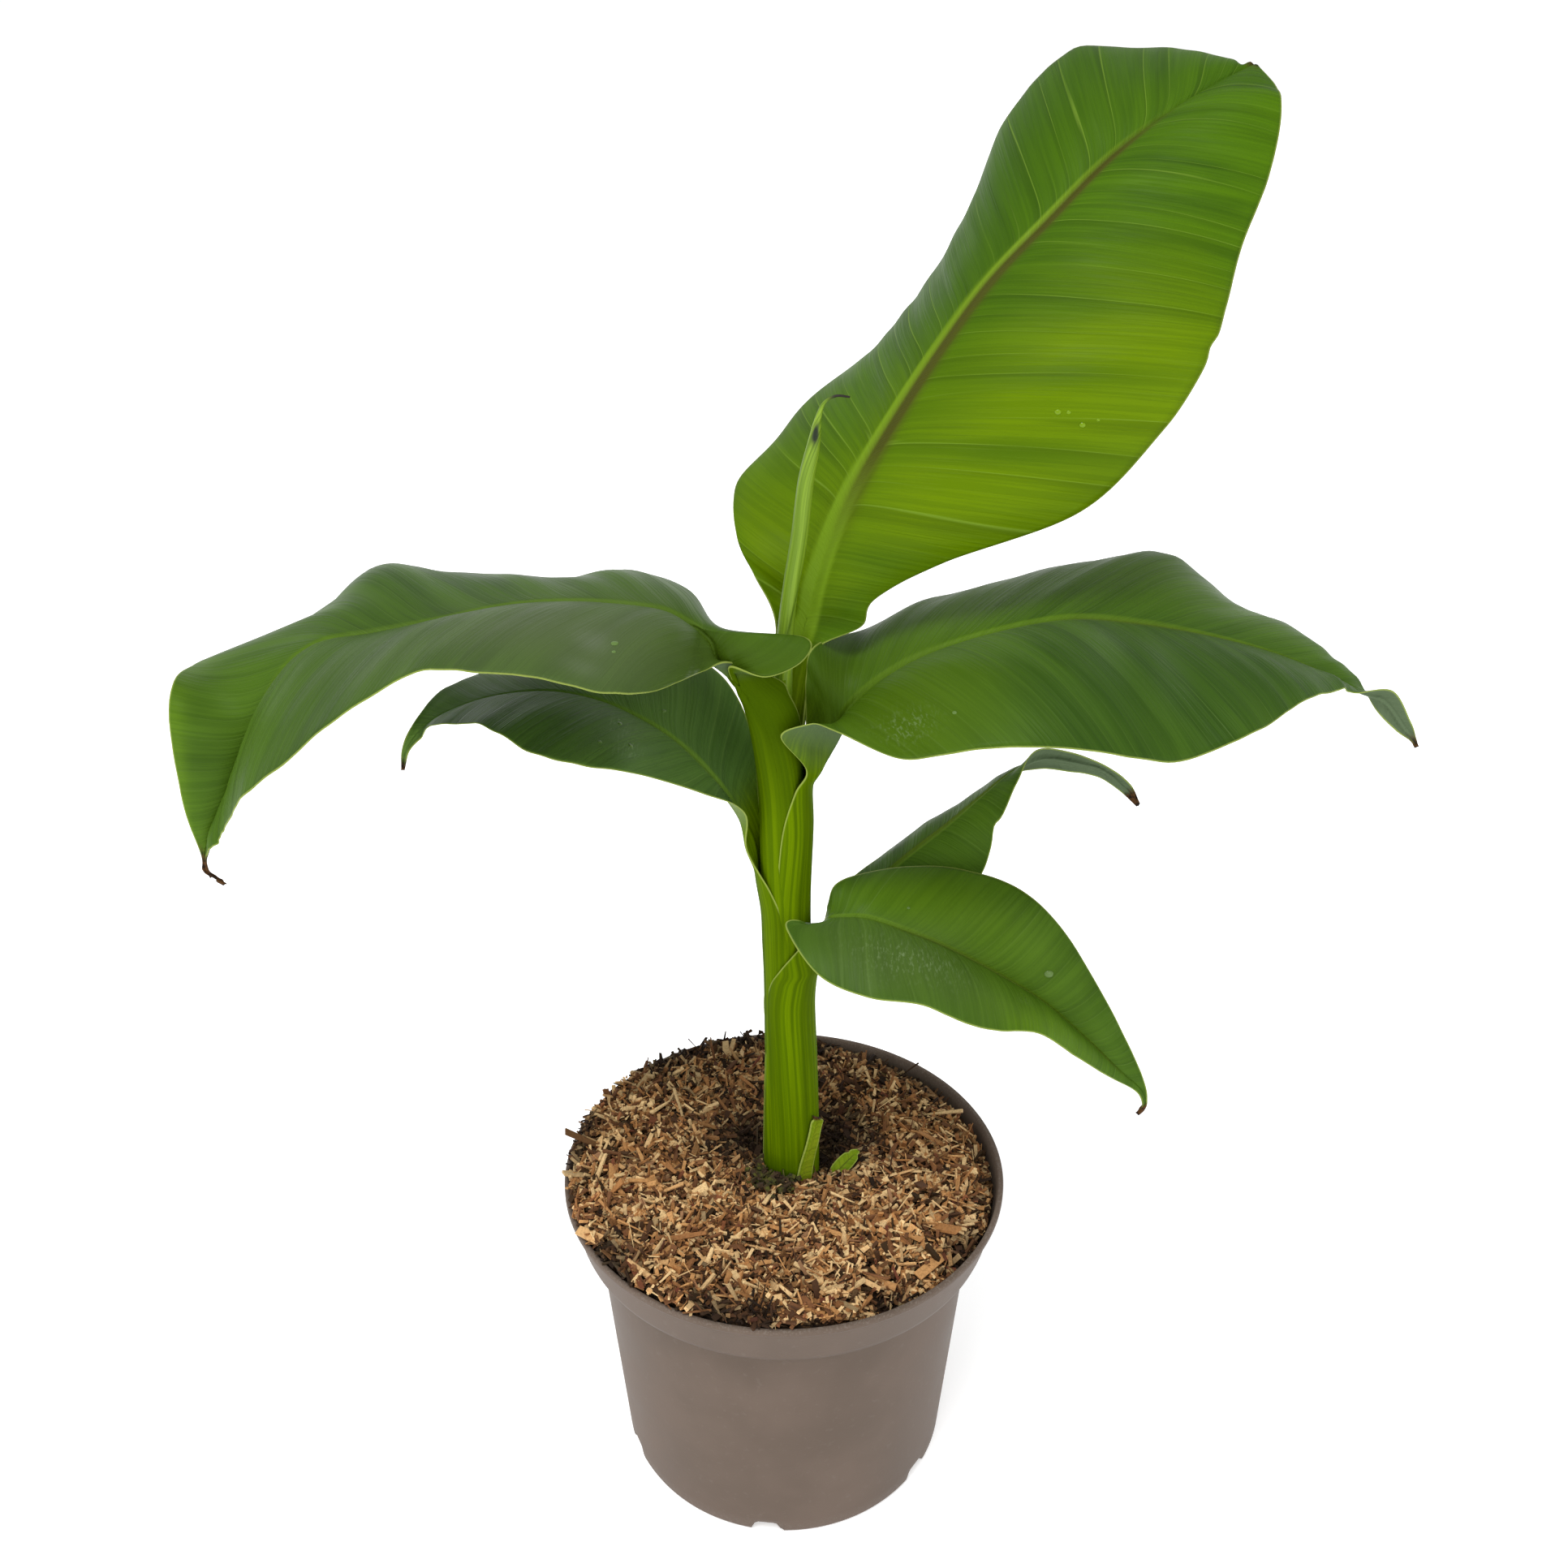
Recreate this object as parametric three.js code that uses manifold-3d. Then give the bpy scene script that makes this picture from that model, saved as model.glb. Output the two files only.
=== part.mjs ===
// A young banana plant in a round nursery pot, in millimetres, +Z up.
// The origin is the centre of the pot's flat underside and +X is to the right as the plant is usually seen.
// The pot is filled with a ball of fibre soil. One pseudostem of wrapped leaf sheaths stands in the soil and
// carries six open leaves and one leaf that is still rolled up like a cigar.
import * as THREE from 'three';
import { mergeVertices } from 'three/addons/utils/BufferGeometryUtils.js';
import Module from 'manifold-3d';

const wasm = await Module();
wasm.setup();

// Driving dimensions. Neighbouring parts stand a hair's breadth clear of each other.
const CLEARANCE = 0.3;
const MERGE_TOLERANCE = 1e-4;

const POT = {
  height: 210,
  rimRadius: 140,
  wall: 2.5,
  floor: 4,
  baseRadius: 108,
  bodyTopRadius: 121,
  bandBottom: 176,
  bandRadius: 133,
  lipHeight: 5,
  lipOverhang: 2,
  lipBevel: 1,
  footBevel: 3,
  floorBevel: 2,
  shoulder: 2,
  facets: 48,
  notches: 6,
  notchWidth: 20,
  notchDepth: 8,
  notchHeight: 6,
  firstNotchDegrees: -96,
};

const SOIL = {
  edgeHeight: 204,
  crownHeight: 208,
  crownRadius: 95,
  dipHeight: 196,
  dipFlatRadius: 21,
  dipRimRadius: 40,
  dipRimHeight: 204,
  edgeFlare: 2,
};

// Thickness of a leaf at its margins and at its petiole, and how many steps it is drawn in along its length
const LARGE_LEAF = { edge: 4.8, petiole: 12, steps: 26 };
const SMALL_LEAF = { edge: 4, petiole: 8, steps: 22 };
const SHEATH_REMAINS = { edge: 2.4, petiole: 3, steps: 8 };
const HALF_BLADE_STEPS = 4;
const BLADE_ARCH = 0.1;
const PETIOLE_SHARE = 0.25;

// Colours
const COLOURS = {
  pot: 0x80736a,
  soil: 0x8a6a4a,
  stem: 0x6b8e1e,
  rolledLeaf: 0x9bb84a,
  youngLeaf: 0x5f9a1e,
  leaf: 0x3f6e30,
};
const ROUGHNESS = { pot: 0.55, soil: 0.95, stem: 0.5, leaf: 0.45 };

// Pseudostem: its centre, and its radius, from the flat cut at the soil up to the throat of the leaves.
// The narrow top is the heart of the stem, which the rolled leaf stands on.
const STEM_STATIONS = [
  { centre: [4, 0, 196], radius: 17 },
  { centre: [4, 0, 240], radius: 16.5 },
  { centre: [4, 0, 290], radius: 15 },
  { centre: [3, 0, 340], radius: 14 },
  { centre: [1, 0, 390], radius: 13.5 },
  { centre: [0, 0, 430], radius: 14 },
  { centre: [-1, 0, 465], radius: 14.5 },
  { centre: [-2, 0, 490], radius: 12.5 },
  { centre: [-1, 1, 508], radius: 8 },
  { centre: [-1, 3, 525], radius: 5.5 },
  { centre: [-1, 4, 545], radius: 5 },
];

// Rolled leaf: a slim leaning roll with a thin hooked tip.
const ROLLED_STATIONS = [
  { centre: [-1, 4, 545 + CLEARANCE], radius: 4.8 },
  { centre: [1, 5, 570], radius: 4.6 },
  { centre: [4, 6, 598], radius: 4.4 },
  { centre: [8, 6, 625], radius: 4.4 },
  { centre: [11, 6, 652], radius: 4.3 },
  { centre: [15, 6, 672], radius: 3.4 },
  { centre: [17, 6, 685], radius: 2.2 },
  { centre: [21, 6, 692], radius: 1.6 },
  { centre: [27, 6, 695], radius: 1.4 },
  { centre: [33, 6, 695], radius: 1 },
];

// Each leaf is a list of stations from its petiole, inside the stem, to its tip.
// A station is a point of the midrib, then the left and the right margin that its veins run out to,
// left and right as seen along the midrib with the upper face up. The veins sweep towards the tip.
const TOP_LEAF = [
  [[1, 11, 492], [-6, 11, 492], [8, 11, 492]],
  [[5, 13, 538], [-1, 13, 540], [11, 13, 538]],
  [[10, 16, 564], [-4, 19, 576], [30, 14, 564]],
  [[16, 18, 591], [-26, 42, 614], [50, 14, 584]],
  [[24, 21, 617], [-27, 82, 635], [85, 10, 608]],
  [[36, 26, 645], [5, 115, 664], [152, 0, 638]],
  [[54, 34, 675], [45, 140, 690], [190, 0, 680]],
  [[78, 45, 710], [80, 153, 724], [211, 8, 714]],
  [[104, 56, 743], [105, 164, 765], [220, 22, 736]],
  [[135, 69, 772], [127, 165, 818], [229, 40, 762]],
  [[165, 82, 799], [158, 162, 850], [243, 58, 792]],
  [[195, 94, 820], [205, 156, 851], [251, 76, 819]],
  [[221, 104, 834], [230, 129, 847], [252, 94, 833]],
  [[244, 112, 844], [242, 114, 845], [246, 110, 843]],
];

const UPPER_LEFT_LEAF = [
  [[-5, -9, 478], [5, -9, 478], [-15, -8, 478]],
  [[-8, -10, 516], [2, -11, 515], [-18, -9, 518]],
  [[-20, -12, 550], [-12, -13, 546], [-28, -11, 554]],
  [[-30, -14, 565], [-34, -18, 558], [-9, -18, 552]],
  [[-38, -15, 572], [-42, -30, 562], [14, -15, 571]],
  [[-48, -15, 582], [-52, -62, 570], [-28, -4, 578]],
  [[-63, -16, 591], [-66, -94, 577], [-54, 54, 575]],
  [[-90, -17, 595], [-86, -106, 582], [-89, 70, 582]],
  [[-116, -18, 596], [-114, -108, 590], [-122, 71, 575]],
  [[-145, -20, 594], [-142, -110, 594], [-152, 70, 578]],
  [[-180, -23, 587], [-172, -111, 593], [-193, 68, 584]],
  [[-211, -26, 582], [-212, -112, 568], [-230, 62, 589]],
  [[-240, -30, 578], [-244, -106, 541], [-270, 46, 560]],
  [[-260, -38, 562], [-266, -98, 520], [-314, 12, 553]],
  [[-278, -46, 528], [-290, -70, 490], [-313, -46, 557]],
  [[-296, -53, 492], [-300, -63, 476], [-314, -55, 504]],
  [[-307, -57, 468], [-306, -58, 467], [-309, -57, 469]],
  [[-307, -58, 458], [-305, -58, 457], [-309, -58, 459]],
  [[-299, -58, 452], [-298, -58, 451], [-300, -58, 454]],
];

const UPPER_RIGHT_LEAF = [
  [[6, -2, 462], [0, -1, 464], [12, -3, 460]],
  [[17, -3, 498], [10, -1, 501], [24, -5, 495]],
  [[24, -4, 518], [18, 5, 525], [32, -10, 512]],
  [[34, -4, 533], [23, 27, 551], [43, -28, 517]],
  [[52, -3, 547], [46, 56, 554], [59, -60, 526]],
  [[79, -1, 562], [80, 77, 562], [84, -80, 539]],
  [[117, 3, 573], [136, 91, 572], [122, -87, 546]],
  [[154, 7, 578], [186, 97, 582], [161, -83, 540]],
  [[190, 11, 574], [226, 95, 586], [200, -72, 531]],
  [[227, 15, 566], [264, 83, 561], [238, -60, 541]],
  [[265, 18, 555], [292, 60, 554], [271, -31, 545]],
  [[297, 20, 542], [311, 41, 542], [301, -2, 541]],
  [[320, 21, 531], [325, 31, 530], [314, 11, 533]],
  [[336, 20, 524], [333, 21, 518], [339, 19, 531]],
  [[349, 18, 509], [345, 18, 507], [353, 18, 512]],
  [[358, 16, 498], [357, 16, 497], [359, 16, 498]],
];

const LOWER_LEFT_LEAF = [
  [[-9, 2, 405], [-11, -3, 405], [-9, 7, 408]],
  [[-18, 0, 446], [-22, -6, 443], [-14, 6, 452]],
  [[-30, -2, 474], [-35, -8, 470], [-20, 10, 484]],
  [[-45, -2, 495], [-52, -16, 489], [-22, 28, 512]],
  [[-62, 0, 511], [-70, -40, 506], [-34, 52, 524]],
  [[-80, 2, 522], [-84, -63, 521], [-55, 68, 530]],
  [[-100, 4, 531], [-102, -73, 528], [-90, 79, 533]],
  [[-123, 5, 536], [-125, -71, 534], [-124, 80, 532]],
  [[-145, 7, 535], [-144, -58, 538], [-152, 71, 529]],
  [[-168, 8, 530], [-164, -37, 536], [-174, 54, 528]],
  [[-189, 9, 521], [-190, -12, 522], [-195, 30, 524]],
  [[-204, 9, 510], [-203, 5, 507], [-208, 12, 512]],
  [[-212, 8, 499], [-210, 7, 498], [-214, 9, 500]],
  [[-215, 8, 487], [-214, 8, 487], [-216, 8, 487]],
];

const LOWER_RIGHT_FRONT_LEAF = [
  [[14, 0, 320], [12, 4, 322], [15, -4, 318]],
  [[21, -2, 354], [19, 2, 355], [23, -6, 353]],
  [[24, -5, 378], [22, -1, 380], [26, -9, 376]],
  [[27, -9, 394], [26, -3, 399], [14, -24, 396]],
  [[36, -11, 400], [30, 2, 409], [0, -28, 400]],
  [[50, -13, 401], [45, 16, 410], [19, -48, 387]],
  [[70, -16, 396], [75, 23, 413], [47, -62, 381]],
  [[93, -21, 388], [105, 16, 418], [79, -73, 382]],
  [[121, -27, 375], [136, -5, 417], [111, -73, 367]],
  [[150, -33, 358], [162, -14, 394], [141, -66, 360]],
  [[176, -39, 336], [187, -28, 356], [165, -57, 337]],
  [[196, -43, 317], [203, -38, 327], [190, -46, 314]],
  [[209, -45, 305], [212, -44, 307], [206, -46, 304]],
  [[213, -46, 296], [214, -46, 296], [211, -46, 295]],
  [[209, -46, 287], [210, -46, 286], [208, -46, 288]],
];

const LOWER_RIGHT_BACK_LEAF = [
  [[10, 9, 335], [6, 11, 336], [13, 6, 334]],
  [[23, 14, 370], [19, 17, 371], [26, 11, 369]],
  [[36, 22, 390], [30, 29, 393], [45, 18, 386]],
  [[54, 32, 401], [46, 48, 399], [72, 22, 386]],
  [[76, 40, 416], [69, 62, 410], [97, 23, 394]],
  [[98, 45, 433], [93, 71, 422], [117, 25, 409]],
  [[120, 48, 453], [115, 72, 436], [126, 28, 440]],
  [[136, 51, 466], [132, 66, 453], [137, 38, 465]],
  [[152, 52, 473], [154, 54, 465], [150, 50, 479]],
  [[172, 56, 469], [172, 56, 464], [172, 56, 474]],
  [[191, 60, 462], [189, 60, 459], [192, 60, 464]],
  [[207, 62, 449], [205, 62, 448], [209, 62, 451]],
  [[217, 62, 437], [216, 62, 436], [218, 62, 438]],
];

// Two remains of old sheaths: a torn point against the stem and a short stump cut off low in the soil.
const SHEATH_STUB = [
  [[14, -17, 198], [6, -19, 198], [20, -12, 198]],
  [[17, -16, 218], [10, -19, 216], [22, -10, 220]],
  [[21, -13, 238], [17, -17, 236], [24, -8, 240]],
  [[24, -11, 252], [23, -12, 251], [25, -9, 253]],
];
const CUT_STUMP_STATIONS = [
  { centre: [28, 4, 199], radius: 5 },
  { centre: [33, 4, 208], radius: 6 },
  { centre: [41, 4, 220], radius: 5 },
];

// Solids with manifold

function toManifold(geometry) {
  const bare = geometry.clone();
  bare.deleteAttribute('normal');
  bare.deleteAttribute('uv');
  const merged = mergeVertices(bare, MERGE_TOLERANCE);
  return new wasm.Manifold(new wasm.Mesh({
    numProp: 3,
    vertProperties: new Float32Array(merged.attributes.position.array),
    triVerts: new Uint32Array(merged.index.array),
  }));
}

function toGeometry(manifold) {
  const mesh = manifold.getMesh();
  const geometry = new THREE.BufferGeometry();
  geometry.setAttribute('position', new THREE.BufferAttribute(mesh.vertProperties, 3));
  geometry.setIndex(new THREE.BufferAttribute(mesh.triVerts, 1));
  geometry.computeVertexNormals();
  return geometry;
}

function largestPiece(manifold) {
  const pieces = manifold.decompose();
  return pieces.reduce((best, piece) => (piece.volume() > best.volume() ? piece : best));
}

// Smooth curves through stations of any number of values

function catmullRom(a, b, c, d, t) {
  const square = 2 * a - 5 * b + 4 * c - d;
  const cube = 3 * b - a - 3 * c + d;
  return 0.5 * (2 * b + (c - a) * t + square * t * t + cube * t * t * t);
}

function sampleStations(stations, steps) {
  const last = stations.length - 1;
  const mirrored = (end, inner) => end.map((value, i) => 2 * value - inner[i]);
  const before = mirrored(stations[0], stations[1]);
  const after = mirrored(stations[last], stations[last - 1]);
  const station = (i) => (i < 0 ? before : i > last ? after : stations[i]);
  const samples = [];
  for (let step = 0; step <= steps; step += 1) {
    const place = (last * step) / steps;
    const span = Math.min(Math.floor(place), last - 1);
    const t = place - span;
    const [a, b, c, d] = [span - 1, span, span + 1, span + 2].map(station);
    samples.push(b.map((_, i) => catmullRom(a[i], b[i], c[i], d[i], t)));
  }
  return samples;
}

// A closed body from rings of equal length. The cap gives the triangles that close both ends.
function bodyFromRings(rings, cap) {
  const sides = rings[0].length;
  const positions = rings.flat().flatMap((point) => point.toArray());
  const indices = [];
  for (let ring = 0; ring < rings.length - 1; ring += 1) {
    for (let side = 0; side < sides; side += 1) {
      const next = (side + 1) % sides;
      const a = ring * sides + side;
      const b = ring * sides + next;
      indices.push(a, b, b + sides, a, b + sides, a + sides);
    }
  }
  indices.push(...cap(sides, (rings.length - 1) * sides));
  const geometry = new THREE.BufferGeometry();
  geometry.setAttribute('position', new THREE.Float32BufferAttribute(positions, 3));
  geometry.setIndex(indices);
  return geometry;
}

// A fan over each round end
function fanCap(sides, lastRing) {
  const indices = [];
  for (let side = 1; side < sides - 1; side += 1) {
    indices.push(0, side + 1, side);
    indices.push(lastRing, lastRing + side, lastRing + side + 1);
  }
  return indices;
}

// A strip across the thickness of each end of a blade
function stripCap(sides, lastRing) {
  const indices = [];
  for (let side = 0; side < sides / 2 - 1; side += 1) {
    const opposite = sides - 1 - side;
    indices.push(side, opposite - 1, side + 1, side, opposite, opposite - 1);
    const [a, b, c, d] = [side, side + 1, opposite - 1, opposite].map((k) => lastRing + k);
    indices.push(a, b, c, a, c, d);
  }
  return indices;
}

// A round stem or roll. Level rings keep its foot flat, and other rings stand square to its path.
function roundStem(stations, { sides, steps, level, grow = 0 }) {
  const rows = stations.map(({ centre, radius }) => [...centre, radius]);
  const samples = sampleStations(rows, steps);
  const centres = samples.map(([x, y, z]) => new THREE.Vector3(x, y, z));
  const rings = centres.map((centre, i) => {
    const along = centres[Math.min(i + 1, steps)].clone().sub(centres[Math.max(i - 1, 0)]).normalize();
    const axis = level || i === 0 ? new THREE.Vector3(0, 0, 1) : along;
    const across = new THREE.Vector3(0, 1, 0).addScaledVector(axis, -axis.y).normalize();
    const other = new THREE.Vector3().crossVectors(axis, across);
    const radius = samples[i][3] + grow;
    return Array.from({ length: sides }, (_, side) => {
      const angle = (2 * Math.PI * side) / sides;
      return centre.clone()
        .addScaledVector(across, radius * Math.cos(angle))
        .addScaledVector(other, radius * Math.sin(angle));
    });
  });
  return bodyFromRings(rings, fanCap);
}

// One point of the blade, between the midrib and a margin, arched towards the upper face
function bladePoint(rib, margin, along, side, share) {
  const across = margin.clone().sub(rib);
  const width = across.length();
  const up = new THREE.Vector3().crossVectors(across, along).multiplyScalar(side).normalize();
  const rise = BLADE_ARCH * width * 4 * share * (1 - share);
  return rib.clone().addScaledVector(across, share).addScaledVector(up, rise);
}

// A leaf: a thin closed blade, thicker along the midrib and thickest at the petiole
function leafBody(stations, { edge, petiole, steps }) {
  const rows = sampleStations(stations.map((station) => station.flat()), steps);
  const points = rows.map((row) => [0, 3, 6].map((k) => new THREE.Vector3(row[k], row[k + 1], row[k + 2])));
  const surface = points.map(([rib, left, right], i) => {
    const along = points[Math.min(i + 1, steps)][0].clone().sub(points[Math.max(i - 1, 0)][0]).normalize();
    const line = [];
    for (let step = HALF_BLADE_STEPS; step > 0; step -= 1) {
      line.push(bladePoint(rib, left, along, -1, step / HALF_BLADE_STEPS));
    }
    line.push(rib);
    for (let step = 1; step <= HALF_BLADE_STEPS; step += 1) {
      line.push(bladePoint(rib, right, along, 1, step / HALF_BLADE_STEPS));
    }
    return line;
  });
  const columns = 2 * HALF_BLADE_STEPS;
  const rings = surface.map((line, i) => {
    const ahead = surface[Math.min(i + 1, steps)];
    const behind = surface[Math.max(i - 1, 0)];
    const petioleShare = Math.max(0, 1 - (i / steps) / PETIOLE_SHARE);
    const ribThickness = edge + (petiole - edge) * petioleShare;
    const halves = line.map((_, column) => {
      const along = ahead[column].clone().sub(behind[column]);
      const across = line[Math.min(column + 1, columns)].clone().sub(line[Math.max(column - 1, 0)]);
      const up = new THREE.Vector3().crossVectors(across, along).normalize();
      const nearRib = 1 - Math.abs(column - HALF_BLADE_STEPS) / HALF_BLADE_STEPS;
      return up.multiplyScalar((edge + (ribThickness - edge) * nearRib) / 2);
    });
    const upper = line.map((point, column) => point.clone().add(halves[column]));
    const lower = line.map((point, column) => point.clone().sub(halves[column])).reverse();
    return [...upper, ...lower];
  });
  return bodyFromRings(rings, stripCap);
}

// A turned body about the Z axis, from a profile of [radius, height] points
function turned(profile, facets) {
  const points = profile.map(([radius, height]) => new THREE.Vector2(radius, height));
  return new THREE.LatheGeometry(points, facets).rotateX(Math.PI / 2);
}

function potBody() {
  const { height, rimRadius, wall, floor, baseRadius, bodyTopRadius, bandBottom, bandRadius } = POT;
  const { lipHeight, lipOverhang, lipBevel, footBevel, floorBevel, shoulder } = POT;
  const lipRadius = rimRadius - lipOverhang;
  const profile = [
    [0, 0],
    [baseRadius - footBevel, 0],
    [baseRadius, footBevel],
    [bodyTopRadius, bandBottom - shoulder],
    [bandRadius, bandBottom],
    [lipRadius, height - lipHeight],
    [rimRadius, height - lipHeight + lipBevel],
    [rimRadius, height],
    [lipRadius - wall, height],
    [bandRadius - wall, bandBottom + wall + lipBevel],
    [bodyTopRadius - wall, bandBottom - shoulder + wall],
    [baseRadius - wall, floor + floorBevel],
    [baseRadius - wall - floorBevel, floor],
    [0, floor],
  ];
  let pot = toManifold(turned(profile, POT.facets));
  for (let i = 0; i < POT.notches; i += 1) {
    const angle = THREE.MathUtils.degToRad(POT.firstNotchDegrees + (360 * i) / POT.notches);
    const cutter = new THREE.BoxGeometry(2 * POT.notchDepth, POT.notchWidth, 2 * POT.notchHeight);
    cutter.rotateZ(angle);
    cutter.translate(Math.cos(angle) * baseRadius, Math.sin(angle) * baseRadius, 0);
    pot = pot.subtract(toManifold(cutter));
  }
  return pot;
}

function soilBody() {
  const { wall, floor, baseRadius, bodyTopRadius, bandBottom, bandRadius } = POT;
  const { lipBevel, floorBevel, shoulder } = POT;
  const gap = wall + CLEARANCE;
  const profile = [
    [0, floor + CLEARANCE],
    [baseRadius - gap - floorBevel, floor + CLEARANCE],
    [baseRadius - gap, floor + floorBevel + CLEARANCE],
    [bodyTopRadius - gap, bandBottom - shoulder + wall + CLEARANCE],
    [bandRadius - gap, bandBottom + wall + lipBevel + CLEARANCE],
    [bandRadius + SOIL.edgeFlare - gap, SOIL.edgeHeight],
    [SOIL.crownRadius, SOIL.crownHeight],
    [SOIL.dipRimRadius, SOIL.dipRimHeight],
    [SOIL.dipFlatRadius, SOIL.dipHeight - CLEARANCE],
    [0, SOIL.dipHeight - CLEARANCE],
  ];
  return toManifold(turned(profile, POT.facets));
}

// Parts of the plant

const STEM_SHAPE = { sides: 18, steps: 22, level: true };
const ROLLED_SHAPE = { sides: 10, steps: 20, level: false };
const STUMP_SHAPE = { sides: 10, steps: 4, level: true };

const stem = toManifold(roundStem(STEM_STATIONS, STEM_SHAPE));
const stemAndGap = toManifold(roundStem(STEM_STATIONS, { ...STEM_SHAPE, grow: CLEARANCE }));
const rolled = toManifold(roundStem(ROLLED_STATIONS, ROLLED_SHAPE));
const stump = toManifold(roundStem(CUT_STUMP_STATIONS, STUMP_SHAPE));
const stumpAndGap = toManifold(roundStem(CUT_STUMP_STATIONS, { ...STUMP_SHAPE, grow: CLEARANCE }));
const stumpSocket = stumpAndGap.add(stumpAndGap.translate([0, 0, -CLEARANCE]));

const plant = new THREE.Group();

function addPart(name, manifold, colour, roughness) {
  const material = new THREE.MeshStandardMaterial({ color: colour, roughness, metalness: 0 });
  const mesh = new THREE.Mesh(toGeometry(manifold), material);
  mesh.name = name;
  plant.add(mesh);
}

// A leaf is cut back to where it leaves the stem
function addLeaf(name, stations, size, colour) {
  const leaf = toManifold(leafBody(stations, size)).subtract(stemAndGap);
  addPart(name, largestPiece(leaf), colour, ROUGHNESS.leaf);
}

addPart('pot', potBody(), COLOURS.pot, ROUGHNESS.pot);
addPart('root_ball', soilBody().subtract(stumpSocket), COLOURS.soil, ROUGHNESS.soil);
addPart('pseudostem', stem, COLOURS.stem, ROUGHNESS.stem);
addPart('rolled_leaf', rolled, COLOURS.rolledLeaf, ROUGHNESS.stem);
addLeaf('leaf_top', TOP_LEAF, LARGE_LEAF, COLOURS.youngLeaf);
addLeaf('leaf_upper_left', UPPER_LEFT_LEAF, LARGE_LEAF, COLOURS.leaf);
addLeaf('leaf_upper_right', UPPER_RIGHT_LEAF, LARGE_LEAF, COLOURS.leaf);
addLeaf('leaf_lower_left', LOWER_LEFT_LEAF, SMALL_LEAF, COLOURS.leaf);
addLeaf('leaf_lower_right_front', LOWER_RIGHT_FRONT_LEAF, SMALL_LEAF, COLOURS.leaf);
addLeaf('leaf_lower_right_back', LOWER_RIGHT_BACK_LEAF, SMALL_LEAF, COLOURS.leaf);
addLeaf('sheath_stub', SHEATH_STUB, SHEATH_REMAINS, COLOURS.stem);
addPart('cut_stump', stump, COLOURS.stem, ROUGHNESS.stem);

export default plant;
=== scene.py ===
"""Looks of a young potted banana plant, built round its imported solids.

Shapes are worked out in millimetres and turned to metres where vertices are placed.
+Z is up, +X is to the right and -Y is towards the camera.
"""

import math
import random

import bmesh
import bpy
from mathutils import Matrix, Vector, noise


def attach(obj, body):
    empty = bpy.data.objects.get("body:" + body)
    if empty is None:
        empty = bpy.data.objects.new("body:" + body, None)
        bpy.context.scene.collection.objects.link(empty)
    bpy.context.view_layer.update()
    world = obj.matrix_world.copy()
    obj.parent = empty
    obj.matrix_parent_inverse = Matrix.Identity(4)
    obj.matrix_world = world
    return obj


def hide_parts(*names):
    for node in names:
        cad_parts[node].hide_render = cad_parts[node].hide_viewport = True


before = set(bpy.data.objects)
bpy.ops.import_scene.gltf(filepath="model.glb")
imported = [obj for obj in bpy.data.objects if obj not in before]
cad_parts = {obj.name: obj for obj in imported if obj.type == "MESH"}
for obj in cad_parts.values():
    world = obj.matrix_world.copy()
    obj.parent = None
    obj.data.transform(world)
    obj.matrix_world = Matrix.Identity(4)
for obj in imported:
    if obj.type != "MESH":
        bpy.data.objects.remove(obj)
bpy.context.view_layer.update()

MM = 0.001

# Camera, fitted to the ellipse of the pot's rim
CAMERA_PLACE = (0, -0.734, 0.846)
CAMERA_PITCH_DEGREES = 26.37
PHOTO_SIDE = 1932
FOCAL_PIXELS = 1800
SENSOR_MM = 36

# Pot, in millimetres, as its solid
POT_HEIGHT = 210
RIM_RADIUS = 140
POT_WALL = 2.5
BASE_RADIUS = 108
BODY_TOP_RADIUS = 121
BAND_BOTTOM = 176
BAND_RADIUS = 133
LIP_HEIGHT = 5
POT_SEGMENTS = 288
NOTCH_COUNT = 6
NOTCH_WIDTH = 20
NOTCH_HEIGHT = 9
NOTCH_DEPTH = 9
FIRST_NOTCH_DEGREES = -96

# Stations of the solids: a point of the centre line and a radius
STEM_STATIONS = [
    [[4, 0, 196], 17],
    [[4, 0, 240], 16.5],
    [[4, 0, 290], 15],
    [[3, 0, 340], 14],
    [[1, 0, 390], 13.5],
    [[0, 0, 430], 14],
    [[-1, 0, 465], 14.5],
    [[-2, 0, 490], 12.5],
    [[-1, 1, 508], 8],
    [[-1, 3, 525], 5.5],
    [[-1, 4, 545], 5],
]

ROLLED_STATIONS = [
    [[-1, 2, 522], 5.4],
    [[0, 4, 546], 5],
    [[1, 5, 570], 4.6],
    [[4, 6, 598], 4.4],
    [[8, 6, 625], 4.4],
    [[11, 6, 652], 4.3],
    [[15, 6, 672], 3.4],
    [[17, 6, 684], 1.8],
    [[20, 6, 692], 0.8],
    [[26, 6, 695.5], 0.65],
    [[33, 6, 695], 0.5],
]

TOP_LEAF = [
    [[5, 13, 538], [-7, 6, 538], [13, 6, 541]],
    [[10, 16, 564], [-5, 14, 574], [18, 11, 559]],
    [[13, 17, 577], [-16, 30, 595], [42, 14, 570]],
    [[16, 18, 591], [-26, 42, 614], [49, 14, 586]],
    [[24, 21, 617], [-27, 82, 635], [85, 10, 608]],
    [[36, 26, 645], [5, 115, 664], [152, 0, 638]],
    [[54, 34, 675], [45, 140, 690], [190, 0, 680]],
    [[78, 45, 710], [80, 153, 724], [211, 8, 714]],
    [[104, 56, 743], [105, 164, 765], [220, 22, 736]],
    [[135, 69, 772], [127, 165, 818], [229, 40, 762]],
    [[165, 82, 799], [158, 162, 850], [243, 58, 792]],
    [[195, 94, 820], [205, 156, 851], [251, 76, 819]],
    [[221, 104, 834], [230, 129, 847], [252, 94, 833]],
    [[244, 112, 844], [242, 114, 845], [246, 110, 843]],
]

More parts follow.
